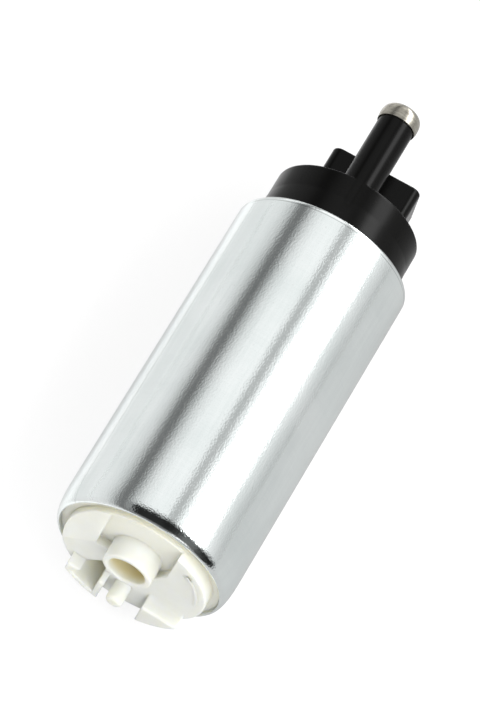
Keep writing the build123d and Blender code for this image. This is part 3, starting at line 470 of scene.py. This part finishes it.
@dataclass(frozen=True)
class MilkyMoulding(Finish):
    """Off-white moulded resin that lets some light in, with painted shade: a warmer, deeper tone in its
    hollows and down the nipple's bore.

    The face is the station of the land that the nipple stands on. Depths are measured from it,
    towards the inside of the pump where they are more than 0.
    """

    nipple: Pair
    bore_radius: float
    face: float
    pale: Colour = (0.70, 0.71, 0.68)
    warm: Colour = (0.66, 0.665, 0.605)
    tone_weights: Pair = (0.5, 0.2)
    clouds: Pattern = Pattern(0.16, 3.0)
    cloud_band: Pair = (0.35, 0.7)
    flow: Pattern = Pattern(0.5, 2.0, stretch=(0.25, 1.0, 0.35))
    flow_relief: Relief = Relief(0.03, 0.3)
    pores: Pattern = Pattern(5.0, 2.0, 0.6)
    pores_relief: Relief = Relief(0.012, 0.4)
    # painted shade: the resin turns warmer and deeper in tone in the hollows below the face and down
    # the bore
    sunk_depths: Pair = (0.3, 3.2)
    painted_hollow_shade: Tint = Tint((0.74, 0.71, 0.55), 0.45)
    bore_depths: Pair = (-3.2, -0.4)
    bore_soft: float = 0.1
    painted_bore_shade: Tint = Tint((0.66, 0.57, 0.30), 0.85)
    edge: float = 0.5
    roughness: float = 0.36
    roughening: Pair = (0.10, 0.06)
    bending: float = 1.48
    gloss: float = 0.4
    scattered: float = 0.7
    scatter_metres: float = 0.0035
    scatter_colour: Colour = (1.0, 0.92, 0.6)

    def surface(self, net: Net) -> dict[str, Value]:
        """Return the resin's sockets.

        Args:
            net: The material's node tree.

        Returns:
            The value or the wire of each socket.
        """
        place = net.place()
        x, from_nipple, _ = net.turned(self.nipple)
        clouds = net.noise(place, self.clouds)
        flow = net.noise(place, self.flow)
        pores = net.noise(place, self.pores)
        inside = from_nipple.fall(self.bore_radius - self.bore_soft, self.bore_radius + self.bore_soft)
        down_bore = x.step(*(self.face + depth for depth in self.bore_depths))
        sunk = x.step(*(self.face + depth for depth in self.sunk_depths))
        tone = weighed((clouds.step(*self.cloud_band), flow), self.tone_weights)
        colour = net.blend(tone, self.pale, self.warm)
        # painted shade in the hollows and down the bore
        colour = net.tinted(colour, sunk, self.painted_hollow_shade)
        colour = net.tinted(colour, inside * down_bore, self.painted_bore_shade)
        layers = ((pores, self.pores_relief), (flow, self.flow_relief))
        return {
            "Base Color": colour,
            "Roughness": self.roughness + weighed((pores, clouds), self.roughening),
            "Normal": net.raised(layers, net.softened(self.edge)),
            "IOR": self.bending,
            "Subsurface Weight": self.scattered,
            "Subsurface Scale": self.scatter_metres,
            "Subsurface Radius": self.scatter_colour,
            "Specular IOR Level": self.gloss,
        }


@dataclass(frozen=True)
class BlackMoulding(Finish):
    """Black moulded resin with a soft sheen, faint flow marks and a finely eroded skin."""

    body: Colour = (0.0016, 0.0016, 0.0015)
    scuff: Colour = (0.008, 0.008, 0.0075)
    tone_weights: Pair = (0.35, 0.3)
    clouds: Pattern = Pattern(0.12, 4.0)
    flow: Pattern = Pattern(0.6, 3.0, stretch=(0.15, 1.0, 1.0))
    flow_relief: Relief = Relief(0.02, 0.25)
    skin: Pattern = Pattern(3.0, 1.0, 0.6)
    skin_relief: Relief = Relief(0.005, 0.6)
    marks: Pattern = Pattern(1.6, 5.0, 0.7, (1.0, 0.12, 0.5))
    marks_band: Pair = (0.62, 0.74)
    edge: float = 0.45
    roughness: float = 0.12
    roughening: Triple = (0.06, 0.06, 0.10)
    bending: float = 1.5
    gloss: float = 0.10

    def surface(self, net: Net) -> dict[str, Value]:
        """Return the resin's sockets.

        Args:
            net: The material's node tree.

        Returns:
            The value or the wire of each socket.
        """
        place = net.place()
        clouds = net.noise(place, self.clouds)
        flow = net.noise(place, self.flow)
        skin = net.noise(place, self.skin)
        marks = net.noise(place, self.marks).step(*self.marks_band)
        layers = ((skin, self.skin_relief), (flow, self.flow_relief))
        return {
            "Base Color": net.blend(weighed((clouds, marks), self.tone_weights), self.body, self.scuff),
            "Roughness": self.roughness + weighed((skin, flow, marks), self.roughening),
            "Normal": net.raised(layers, net.softened(self.edge)),
            "IOR": self.bending,
            "Specular IOR Level": self.gloss,
        }


@dataclass(frozen=True)
class Metal(Finish):
    """Bare metal with tool marks, cloudy tone and small stains."""

    light: Colour
    dark: Colour
    roughness: float
    grain: Grain
    pitch: float
    centre: Pair = (0.0, 0.0)
    stain: Tint = Tint((0.30, 0.27, 0.24), 0.2)
    marks_relief: Relief = Relief(0.012, 0.6)
    around_per_turn: float = 0.8
    along_stretch: Pair = (0.15, 3.0)
    faced_weights: Pair = (0.35, 0.65)
    faced: Pattern = Pattern(2.0)
    clouds: Pattern = Pattern(0.22, 4.0)
    stains: Pattern = Pattern(0.5, 5.0, 0.65)
    stains_band: Pair = (0.58, 0.78)
    tone_weights: Pair = (0.6, 0.4)
    roughening: Pair = (0.10, 0.12)

    def marks(self, net: Net) -> Wire:
        """Return the height of the tool marks.

        Args:
            net: The material's node tree.

        Returns:
            The height, from 0 to 1.
        """
        if self.grain is Grain.NONE:
            return net.noise(net.place(), Pattern(self.pitch, 4.0, 0.6))
        x, radius, angle = net.turned(self.centre)
        if self.grain is Grain.FACED:
            turns = net.maths("SINE", radius * self.pitch, 0.0)
            return weighed((turns, net.noise(net.place(), self.faced)), self.faced_weights)
        stretch = (self.pitch, self.around_per_turn, self.pitch)
        if self.grain is Grain.ALONG:
            stretch = (self.along_stretch[0], self.along_stretch[1] * self.pitch, 1.0)
        return net.noise(net.join(x, angle, radius), Pattern(1.0, 3.0, 0.6, stretch))

    def surface(self, net: Net) -> dict[str, Value]:
        """Return the metal's sockets.

        Args:
            net: The material's node tree.

        Returns:
            The value or the wire of each socket.
        """
        place = net.place()
        marks = self.marks(net)
        clouds = net.noise(place, self.clouds)
        stains = net.noise(place, self.stains).step(*self.stains_band)
        tone = weighed((clouds, marks), self.tone_weights).step(*EVEN_BAND)
        colour = net.blend(tone, self.dark, self.light)
        return {
            "Base Color": net.tinted(colour, stains, self.stain),
            "Metallic": 1.0,
            "Roughness": self.roughness + weighed((marks, stains), self.roughening),
            "Normal": net.raised(((marks, self.marks_relief),)),
        }


@dataclass(frozen=True)
class Sintered(Finish):
    """Pressed and sintered powder: fine pores, darkened as painted shade, over a dull or metallic body.
    """

    light: Colour = (0.40, 0.39, 0.38)
    dark: Colour = (0.24, 0.235, 0.23)
    metallic: float = 0.9
    roughness: float = 0.5
    pores_per_mm: float = 2.4
    pore_size: Pair = (0.12, 0.42)
    pore_shade: float = 0.45
    pore_amount: float = 0.5
    pores_relief: Relief = Relief(0.03, 0.6)
    grit: Pattern = Pattern(4.0, 3.0, 0.7)
    grit_relief: Relief = Relief(0.02, 0.5)
    clouds: Pattern = Pattern(0.3, 3.0)
    tone_weights: Pair = (0.5, 0.5)
    roughening: Pair = (0.25, 0.1)

    def surface(self, net: Net) -> dict[str, Value]:
        """Return the pressed powder's sockets.

        Args:
            net: The material's node tree.

        Returns:
            The value or the wire of each socket.
        """
        place = net.place()
        pores = net.specks(place, self.pores_per_mm, self.pore_size)
        grit = net.noise(place, self.grit)
        clouds = net.noise(place, self.clouds)
        tone = weighed((clouds, grit), self.tone_weights).step(*EVEN_BAND)
        # painted shade in the pores
        shade = Tint(tuple(part * self.pore_shade for part in self.dark), self.pore_amount)
        layers = ((grit, self.grit_relief), (1.0 - pores, self.pores_relief))
        return {
            "Base Color": net.tinted(net.blend(tone, self.dark, self.light), pores, shade),
            "Metallic": self.metallic,
            "Roughness": self.roughness + weighed((pores, grit), self.roughening),
            "Normal": net.raised(layers),
        }


@dataclass(frozen=True)
class StackedSheet(Finish):
    """A stack of thin punched sheets, seen as fine lines round its outside."""

    sheet: float
    light: Colour = (0.50, 0.51, 0.53)
    dark: Colour = (0.22, 0.225, 0.24)
    joint_width: float = 0.07
    joint_tint: Tint = Tint((0.06, 0.06, 0.07), 0.7)
    joints_relief: Relief = Relief(0.05, 0.7)
    burrs: Pattern = Pattern(2.0, 3.0, stretch=(2.0, 0.4, 0.4))
    burrs_relief: Relief = Relief(0.02, 0.4)
    oxide: Pattern = Pattern(0.35, 4.0)
    metallic: float = 0.85
    roughness: float = 0.38
    roughening: Pair = (0.15, 0.2)

    def surface(self, net: Net) -> dict[str, Value]:
        """Return the stack's sockets.

        Args:
            net: The material's node tree.

        Returns:
            The value or the wire of each socket.
        """
        place = net.place()
        x, _, _ = net.split(place)
        joints = net.maths("PINGPONG", x, self.sheet / 2).fall(0.0, self.joint_width)
        burrs = net.noise(place, self.burrs)
        oxide = net.noise(place, self.oxide).step(*EVEN_BAND)
        layers = ((1.0 - joints, self.joints_relief), (burrs, self.burrs_relief))
        return {
            "Base Color": net.tinted(net.blend(oxide, self.dark, self.light), joints, self.joint_tint),
            "Metallic": self.metallic,
            "Roughness": self.roughness + weighed((burrs, joints), self.roughening),
            "Normal": net.raised(layers),
        }


@dataclass(frozen=True)
class WoundCopper(Finish):
    """Enamelled copper wire in close turns, with painted shade in the creases between the turns."""

    wire: float
    light: Colour = (0.74, 0.33, 0.15)
    dark: Colour = (0.36, 0.12, 0.05)
    wander: Pattern = Pattern(0.6, 2.0)
    lay_weights: tuple[float, float, float, float] = (1.0, 1.7, 0.35, 0.5)
    painted_turn_shade_band: Pair = (0.05, 0.8)
    turn_roundness: float = 0.5
    turn_relief: Relief = Relief(0.18, 0.8)
    enamel: Pattern = Pattern(0.9, 3.0)
    enamel_band: Pair = (0.55, 0.8)
    enamel_tint: Tint = Tint((0.50, 0.20, 0.07), 0.3)
    metallic: float = 0.8
    roughness: float = 0.24
    roughening: float = 0.14
    coat: float = 0.4
    coat_roughness: float = 0.15

    def surface(self, net: Net) -> dict[str, Value]:
        """Return the wire's sockets.

        Args:
            net: The material's node tree.

        Returns:
            The value or the wire of each socket.
        """
        place = net.place()
        x, radius, angle = net.turned()
        wander = net.noise(place, self.wander)
        lay = weighed((radius, angle, x, wander), self.lay_weights)
        turn = net.maths("PINGPONG", lay, self.wire / 2) / (self.wire / 2)
        enamel = net.noise(place, self.enamel)
        # painted shade: darker in the creases between the turns, lighter on their crests
        colour = net.blend(turn.step(*self.painted_turn_shade_band), self.dark, self.light)
        return {
            "Base Color": net.tinted(colour, enamel.step(*self.enamel_band), self.enamel_tint),
            "Metallic": self.metallic,
            "Roughness": self.roughness + enamel * self.roughening,
            "Normal": net.raised(((turn ** self.turn_roundness, self.turn_relief),)),
            "Coat Weight": self.coat,
            "Coat Roughness": self.coat_roughness,
        }


@dataclass(frozen=True)
class Moulding(Finish):
    """Plain moulded or pressed resin, rubber or fibre."""

    light: Colour
    dark: Colour
    roughness: float
    fibres: float
    bumps_per_mm: float = 3.0
    clouds: Pattern = Pattern(0.4, 3.0)
    skin_relief: Relief = Relief(0.02, 0.5)
    fibre: Pattern = Pattern(1.2, 2.0, stretch=(0.2, 2.4, 0.7))
    fibre_band: Pair = (0.55, 0.68)
    fibre_gain: float = 1.5
    fibre_lift: float = 0.02
    roughening: float = 0.16
    bending: float = 1.5

    def surface(self, net: Net) -> dict[str, Value]:
        """Return the resin's sockets.

        Args:
            net: The material's node tree.

        Returns:
            The value or the wire of each socket.
        """
        place = net.place()
        clouds = net.noise(place, self.clouds).step(*EVEN_BAND)
        skin = net.noise(place, Pattern(self.bumps_per_mm, 3.0, 0.6))
        fibre = net.noise(place, self.fibre).step(*self.fibre_band)
        pale = tuple(min(1.0, part * self.fibre_gain + self.fibre_lift) for part in self.light)
        colour = net.blend(clouds, self.dark, self.light)
        return {
            "Base Color": net.tinted(colour, fibre, Tint(pale, self.fibres)),
            "Roughness": self.roughness + skin * self.roughening,
            "Normal": net.raised(((skin, self.skin_relief),)),
            "IOR": self.bending,
        }


SEAL_RUBBER = Moulding(
    "seal_rubber",
    light=(0.040, 0.040, 0.042),
    dark=(0.020, 0.020, 0.022),
    roughness=0.62,
    fibres=0.05,
    bumps_per_mm=4.0,
)
WASHER_PLASTIC = Moulding(
    "washer_plastic",
    light=(0.26, 0.24, 0.22),
    dark=(0.17, 0.16, 0.15),
    roughness=0.42,
    fibres=0.25,
)
GROUND_STEEL = Metal(
    "ground_steel",
    light=(0.70, 0.70, 0.71),
    dark=(0.52, 0.52, 0.54),
    roughness=0.20,
    grain=Grain.AROUND,
    pitch=9.0,
)
PLATE_METAL = Metal(
    "plate_metal",
    light=(0.72, 0.73, 0.74),
    dark=(0.56, 0.57, 0.58),
    roughness=0.30,
    grain=Grain.FACED,
    pitch=10.0,
)
SPRING_STEEL = Metal(
    "spring_steel",
    light=(0.72, 0.72, 0.72),
    dark=(0.50, 0.50, 0.51),
    roughness=0.22,
    grain=Grain.NONE,
    pitch=5.0,
)
SINTERED_METAL = Sintered("sintered_metal")
BRONZE = Sintered(
    "bronze",
    light=(0.66, 0.46, 0.24),
    dark=(0.46, 0.29, 0.13),
    metallic=1.0,
    roughness=0.36,
    pores_per_mm=3.0,
)
CARBON = Sintered(
    "carbon",
    light=(0.10, 0.10, 0.105),
    dark=(0.045, 0.045, 0.048),
    metallic=0.15,
    roughness=0.55,
    pores_per_mm=3.5,
)
COPPER = WoundCopper("copper", wire=0.55)


def ferrite(name: str) -> Sintered:
    """Mix the dark finish of a pressed ferrite piece.

    Args:
        name: What the finish is called.

    Returns:
        The finish.
    """
    return Sintered(
        name,
        light=(0.19, 0.19, 0.20),
        dark=(0.11, 0.11, 0.12),
        metallic=0.35,
        roughness=0.45,
        pores_per_mm=1.2,
    )


@dataclass(frozen=True)
class Sizes:
    """The sizes that the finishes and the studio follow, as the frame has them."""

    can_radius: float
    can_half_length: float
    nipple: Pair
    bore_radius: float
    tube: Pair

    @classmethod
    def read(cls, record: Mapping[str, Any]) -> "Sizes":
        """Read the sizes from the can's box and from the record's mounts.

        Args:
            record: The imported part's record.

        Returns:
            The sizes, in millimetres.
        """
        _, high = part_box("can")
        mounts = {mount["name"]: mount for mount in record["mounts"]}
        axes = {name: tuple(part / MM for part in mount["pos_m"][1:]) for name, mount in mounts.items()}
        return cls(
            can_radius=high.z / MM,
            can_half_length=high.x / MM,
            nipple=axes["inlet_bore"],
            bore_radius=mounts["inlet_bore"]["dims"]["r_mm"],
            tube=axes["outlet_tube"],
        )


@dataclass
class SubAssembly:
    """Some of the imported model's solids that belong together, each with its finish."""

    nodes: Mapping[str, bpy.types.Object]
    sizes: Sizes
    meshes: dict[str, bpy.types.Object] = field(default_factory=dict)

    def finishes(self) -> dict[str, Finish]:
        """Return the finish of each solid of this sub-assembly, by its name."""
        raise NotImplementedError

    def build(self) -> None:
        """Take this sub-assembly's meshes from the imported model, which has all of them."""
        self.meshes = {name: self.nodes[name] for name in self.finishes()}

    def dress(self) -> None:
        """Put its finish on each mesh, and report it."""
        for name, finish in self.finishes().items():
            finish.wear(self.meshes[name])
            LOG.info("%s: %s in %s", type(self).__name__, name, finish.name)


@dataclass
class Shell(SubAssembly):
    """The can, and the two rings that seal its ends."""

    def finishes(self) -> dict[str, Finish]:
        """Return the finishes of the can and its seals."""
        can = PlatedCan("can_plating", self.sizes.can_radius, self.sizes.can_half_length)
        return {"can": can, "inlet_seal": SEAL_RUBBER, "outlet_seal": SEAL_RUBBER}


@dataclass
class InletEnd(SubAssembly):
    """The off-white moulding with the nipple, the lugs and the peg."""

    land_height: float = 2.26
    bore_margin: float = 0.05

    def finishes(self) -> dict[str, Finish]:
        """Return the moulding's finish.

        Returns:
            The finish of the one solid, by its name.
        """
        resin = MilkyMoulding(
            "white_acetal",
            nipple=self.sizes.nipple,
            bore_radius=self.sizes.bore_radius + self.bore_margin,
            face=-self.sizes.can_half_length - self.land_height,
        )
        return {"inlet_body": resin}


@dataclass
class PumpSection(SubAssembly):
    """The plates, the ring and the two rotors that move the fuel."""

    def finishes(self) -> dict[str, Finish]:
        """Return the finishes of the plates, the rotors and what holds them.

        Returns:
            The finish of each solid, by its name.
        """
        plates = {name: PLATE_METAL for name in ("inlet_plate", "pump_ring", "port_plate")}
        rotors = {name: SINTERED_METAL for name in ("inner_rotor", "outer_rotor")}
        held = {"pump_screws": GROUND_STEEL, "dowel_pins": GROUND_STEEL, "lower_bush": BRONZE}
        return plates | rotors | held


@dataclass
class Armature(SubAssembly):
    """The shaft and all that turns with it."""

    sheet: float = 0.5
    wire: float = 0.55

    def finishes(self) -> dict[str, Finish]:
        """Return the finishes of the turning pieces.

        Returns:
            The finish of each solid, by its name.
        """
        fibre = Moulding(
            "green_insulation",
            light=(0.12, 0.36, 0.23),
            dark=(0.06, 0.24, 0.14),
            roughness=0.55,
            fibres=0.45,
            bumps_per_mm=2.0,
        )
        base = Moulding(
            "commutator_moulding",
            light=(0.20, 0.11, 0.06),
            dark=(0.12, 0.06, 0.03),
            roughness=0.40,
            fibres=0.2,
        )
        rings = ("lower_washer", "lower_spacer", "upper_washer", "upper_spacer")
        return {name: WASHER_PLASTIC for name in rings} | {
            "shaft": GROUND_STEEL,
            "lamination_stack": StackedSheet("electrical_steel", self.sheet),
            "end_insulators": fibre,
            "windings": WoundCopper("winding_copper", self.wire),
            "commutator_base": base,
            "commutator_segments": CARBON,
            "commutator_hooks": COPPER,
        }


@dataclass
class Field(SubAssembly):
    """The steel sleeve, the two magnets and the clips that hold them apart."""

    def finishes(self) -> dict[str, Finish]:
        """Return the finishes of the still half of the motor.

        Returns:
            The finish of each solid, by its name.
        """
        sleeve = Metal(
            "flux_steel",
            light=(0.54, 0.55, 0.56),
            dark=(0.38, 0.39, 0.41),
            roughness=0.36,
            grain=Grain.ALONG,
            pitch=4.0,
        )
        magnet = ferrite("magnet_ferrite")
        clips = {f"magnet_clip_{side}": SPRING_STEEL for side in ("top", "bottom")}
        return {"flux_sleeve": sleeve, "magnet_left": magnet, "magnet_right": magnet} | clips


@dataclass
class OutletEnd(SubAssembly):
    """The black cap with its tube and shroud, and the ring on the tube's end."""

    def finishes(self) -> dict[str, Finish]:
        """Return the finishes of the cap, the ferrule and the upper bush.

        Returns:
            The finish of each solid, by its name.
        """
        nickel = Metal(
            "nickel",
            light=(0.52, 0.50, 0.44),
            dark=(0.24, 0.225, 0.19),
            roughness=0.20,
            grain=Grain.AROUND,
            pitch=1.6,
            centre=self.sizes.tube,
            stain=Tint((0.16, 0.14, 0.11), 0.6),
            marks_relief=Relief(0.006, 0.6),
        )
        cap = BlackMoulding("black_moulding")
        return {"outlet_cap": cap, "outlet_ferrule": nickel, "upper_bush": BRONZE}


@dataclass
class Valves(SubAssembly):
    """The check valve in the tube's bore and the relief valve below it."""

    def finishes(self) -> dict[str, Finish]:
        """Return the finishes of both valves.

        Returns:
            The finish of each solid, by its name.
        """
        return {
            "check_seat": BRONZE,
            "check_poppet": WASHER_PLASTIC,
            "check_spring": SPRING_STEEL,
            "relief_ball": GROUND_STEEL,
            "relief_spring": SPRING_STEEL,
            "relief_retainer": GROUND_STEEL,
        }


@dataclass
class BrushGear(SubAssembly):
    """Brushes with their springs and leads, chokes and terminals, one of each on both sides."""

    def finishes(self) -> dict[str, Finish]:
        """Return the finishes of all that carries the current to the commutator.

        Returns:
            The finish of each solid, by its name.
        """
        blade = Metal(
            "tinned_brass",
            light=(0.80, 0.79, 0.75),
            dark=(0.66, 0.63, 0.54),
            roughness=0.26,
            grain=Grain.NONE,
            pitch=3.0,
            stain=Tint((0.62, 0.48, 0.22), 0.35),
        )
        kinds = {
            "brush": CARBON,
            "brush_spring": SPRING_STEEL,
            "brush_lead": COPPER,
            "choke_core": ferrite("ferrite"),
            "choke_coil": COPPER,
            "terminal": blade,
        }
        sides = ("left", "right")
        return {f"{kind}_{side}": finish for kind, finish in kinds.items() for side in sides}


@dataclass(frozen=True)
class Lamp:
    """A square soft light: watts, the side in metres and the place in metres."""

    name: str
    power: float
    side: float
    place: Triple

    def hang(self) -> None:
        """Hang the light so that it faces the pump, and hide it from gloss."""
        data = bpy.data.lights.new(self.name, "AREA")
        data.shape = "SQUARE"
        data.size = self.side
        data.energy = self.power
        thing = bpy.data.objects.new(self.name, data)
        thing.location = self.place
        thing.rotation_mode = "QUATERNION"
        thing.rotation_quaternion = (-thing.location).to_track_quat("-Z", "Y")
        thing.visible_glossy = False
        bpy.context.scene.collection.objects.link(thing)


@dataclass(frozen=True)
class Viewpoint:
    """The camera at the photo's place, turned about its own line of sight by roll degrees."""

    eye: Triple = (-406.256, -79.482, 830.093)
    target: Triple = (9.851, 3.372, 0.0)
    roll: float = 18.725
    lens: float = 228.864
    sensor: float = 36.0
    clip_metres: Pair = (0.01, 20.0)

    def set_up(self) -> None:
        """Make the camera and give it to the scene."""
        data = bpy.data.cameras.new("camera")
        data.sensor_width = self.sensor
        data.lens = self.lens
        data.clip_start, data.clip_end = self.clip_metres
        thing = bpy.data.objects.new("camera", data)
        eye, target = Vector(self.eye) * MM, Vector(self.target) * MM
        thing.location = eye
        thing.rotation_mode = "QUATERNION"
        aim = (target - eye).to_track_quat("-Z", "Y")
        thing.rotation_quaternion = aim @ Quaternion((0, 0, 1), math.radians(self.roll))
        bpy.context.scene.collection.objects.link(thing)
        bpy.context.scene.camera = thing


@dataclass
class Studio:
    """Pale floor, soft light from above and all round, and the camera of the photo.

    The surround is given by its level at angles about the X axis, from the floor on the +Y side at
    0, up over the top at 90, and down to the floor on the -Y side at 180. In gloss alone it is
    darker behind the inlet end and lighter ahead of the outlet end: these two reaches are stations
    on a sphere, from -1 to 1 along X. The floor's tone for light and gloss goes by its Y: painted
    shade on the -Y side and under the pump, and painted light in a band on the +Y side.
    """

    sizes: Sizes
    floor_metres: float = 6.0
    floor_white: float = 0.97
    floor_glow: float = 0.80
    # painted shade and light on the floor, seen only in gloss and bounce light: dark on the -Y side and
    # under the pump, a bright band on the +Y side
    painted_floor_light_and_shade: tuple[Pair, ...] = ((-15, 0.40), (14, 0.42), (24, 0.80), (40, 0.84), (70, 0.50))
    floor_reach: float = 100.0
    sky: tuple[Pair, ...] = (
        (-180, 0.55), (0, 0.84), (10, 0.84), (22, 0.74), (31, 0.54), (38, 0.22), (46, 0.16), (52, 0.40),
        (61, 0.76), (72, 0.95), (88, 1.00), (97, 0.94), (101, 0.56), (107, 0.48), (112, 0.90),
        (119, 1.20), (127, 5.5), (144, 5.5), (151, 1.8), (158, 0.92), (166, 0.76), (180, 0.55),
    )
    behind: float = 0.98
    behind_reach: Pair = (0.0, 0.13)
    behind_angles: Pair = (48.0, 62.0)
    far_behind: float = 0.80
    far_behind_reach: Pair = (-0.75, -0.55)
    ahead: float = 0.5
    ahead_reach: Pair = (0.60, 0.70)
    lamps: tuple[Lamp, ...] = (
        Lamp("key", 3.0, 0.5, (-0.05, 0.75, 0.90)),
        Lamp("fill", 0.3, 0.8, (-0.90, -0.25, 0.35)),
    )
    viewpoint: Viewpoint = Viewpoint()

    def floor_material(self) -> bpy.types.Material:
        """Make the floor's material, white to the camera but for the shadow on it.

        Returns:
            The material.
        """
        material = bpy.data.materials.new("floor_white")
        material.use_nodes = True
        net = Net(material.node_tree)
        seen = net.node("ShaderNodeLightPath", out="Is Camera Ray")
        _, across, _ = net.split(net.place())
        span = 2 * self.floor_reach
        # painted floor shade and light by Y, for all rays but the camera's
        stops = [(y / span + 0.5, tone) for y, tone in self.painted_floor_light_and_shade]
        shade = net.node("ShaderNodeValToRGB", {"stops": stops}, {"Fac": across / span + 0.5})
        tone = net.blend(seen, shade, (self.floor_white,) * 3)
        matt = net.node("ShaderNodeBsdfDiffuse", {}, {"Color": tone})
        glow = net.node("ShaderNodeEmission", {}, {"Color": (*WHITE, 1.0), "Strength": 1.0})
        mixed = net.node("ShaderNodeMixShader", {}, {0: seen * self.floor_glow, 1: matt, 2: glow})
        net.node("ShaderNodeOutputMaterial", {}, {"Surface": mixed})
        return material

    def floor(self) -> None:
        """Lay the floor where the can rests on it."""
        mesh = bpy.data.meshes.new("floor")
        shape = bmesh.new()
        bmesh.ops.create_grid(shape, x_segments=2, y_segments=2, size=self.floor_metres / 2)
        bmesh.ops.translate(shape, vec=(0, 0, -self.sizes.can_radius * MM), verts=shape.verts)
        shape.to_mesh(mesh)
        shape.free()
        mesh.materials.append(self.floor_material())
        thing = bpy.data.objects.new("floor", mesh)
        bpy.context.scene.collection.objects.link(thing)

    def world(self) -> None:
        """Set the surround: white to the camera, with light and dark bands for light and gloss."""
        world = bpy.data.worlds.new("studio")
        world.use_nodes = True
        bpy.context.scene.world = world
        net = Net(world.node_tree)
        x, y, z = net.split(net.node("ShaderNodeTexCoord", out="Generated"))
        around = net.maths("ARCTAN2", z, y) * math.degrees(1.0)
        peak = max(level for _, level in self.sky)
        stops = [(angle / 360.0 + 0.5, level / peak) for angle, level in self.sky]
        shown = net.node("ShaderNodeValToRGB", {"stops": stops}, {"Fac": around / 360.0 + 0.5}) * peak
        behind = x.fall(*self.behind_reach) * around.step(*self.behind_angles)
        behind = behind * x.step(*self.far_behind_reach, self.far_behind)
        ahead = x.step(*self.ahead_reach)
        camera = net.node("ShaderNodeLightPath", out="Is Camera Ray")
        glossy = net.node("ShaderNodeLightPath", out="Is Glossy Ray")
        shown = shown * (1.0 - behind * glossy * self.behind) * (1.0 + ahead * glossy * self.ahead)
        level = camera + (1.0 - camera) * shown
        back = net.node("ShaderNodeBackground", {}, {"Color": (*WHITE, 1.0), "Strength": level})
        net.node("ShaderNodeOutputWorld", {}, {"Surface": back})

    def build(self) -> None:
        """Make the whole studio."""
        self.floor()
        self.world()
        for lamp in self.lamps:
            lamp.hang()
        self.viewpoint.set_up()
        bpy.context.scene.view_settings.view_transform = "Standard"
        LOG.info("studio built")


@dataclass
class Pump:
    """The whole pump, as its sub-assemblies."""

    nodes: Mapping[str, bpy.types.Object]
    sizes: Sizes

    def build(self) -> None:
        """Build and dress every sub-assembly."""
        for kind in (Shell, InletEnd, PumpSection, Armature, Field, OutletEnd, Valves, BrushGear):
            group = kind(self.nodes, self.sizes)
            group.build()
            group.dress()


def main() -> None:
    """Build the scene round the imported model."""
    logging.basicConfig(level=logging.INFO, format="%(name)s: %(message)s")
    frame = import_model()
    sizes = Sizes.read(frame["record"])
    Studio(sizes).build()
    Pump(frame["nodes"], sizes).build()


if __name__ == "__main__":
    main()
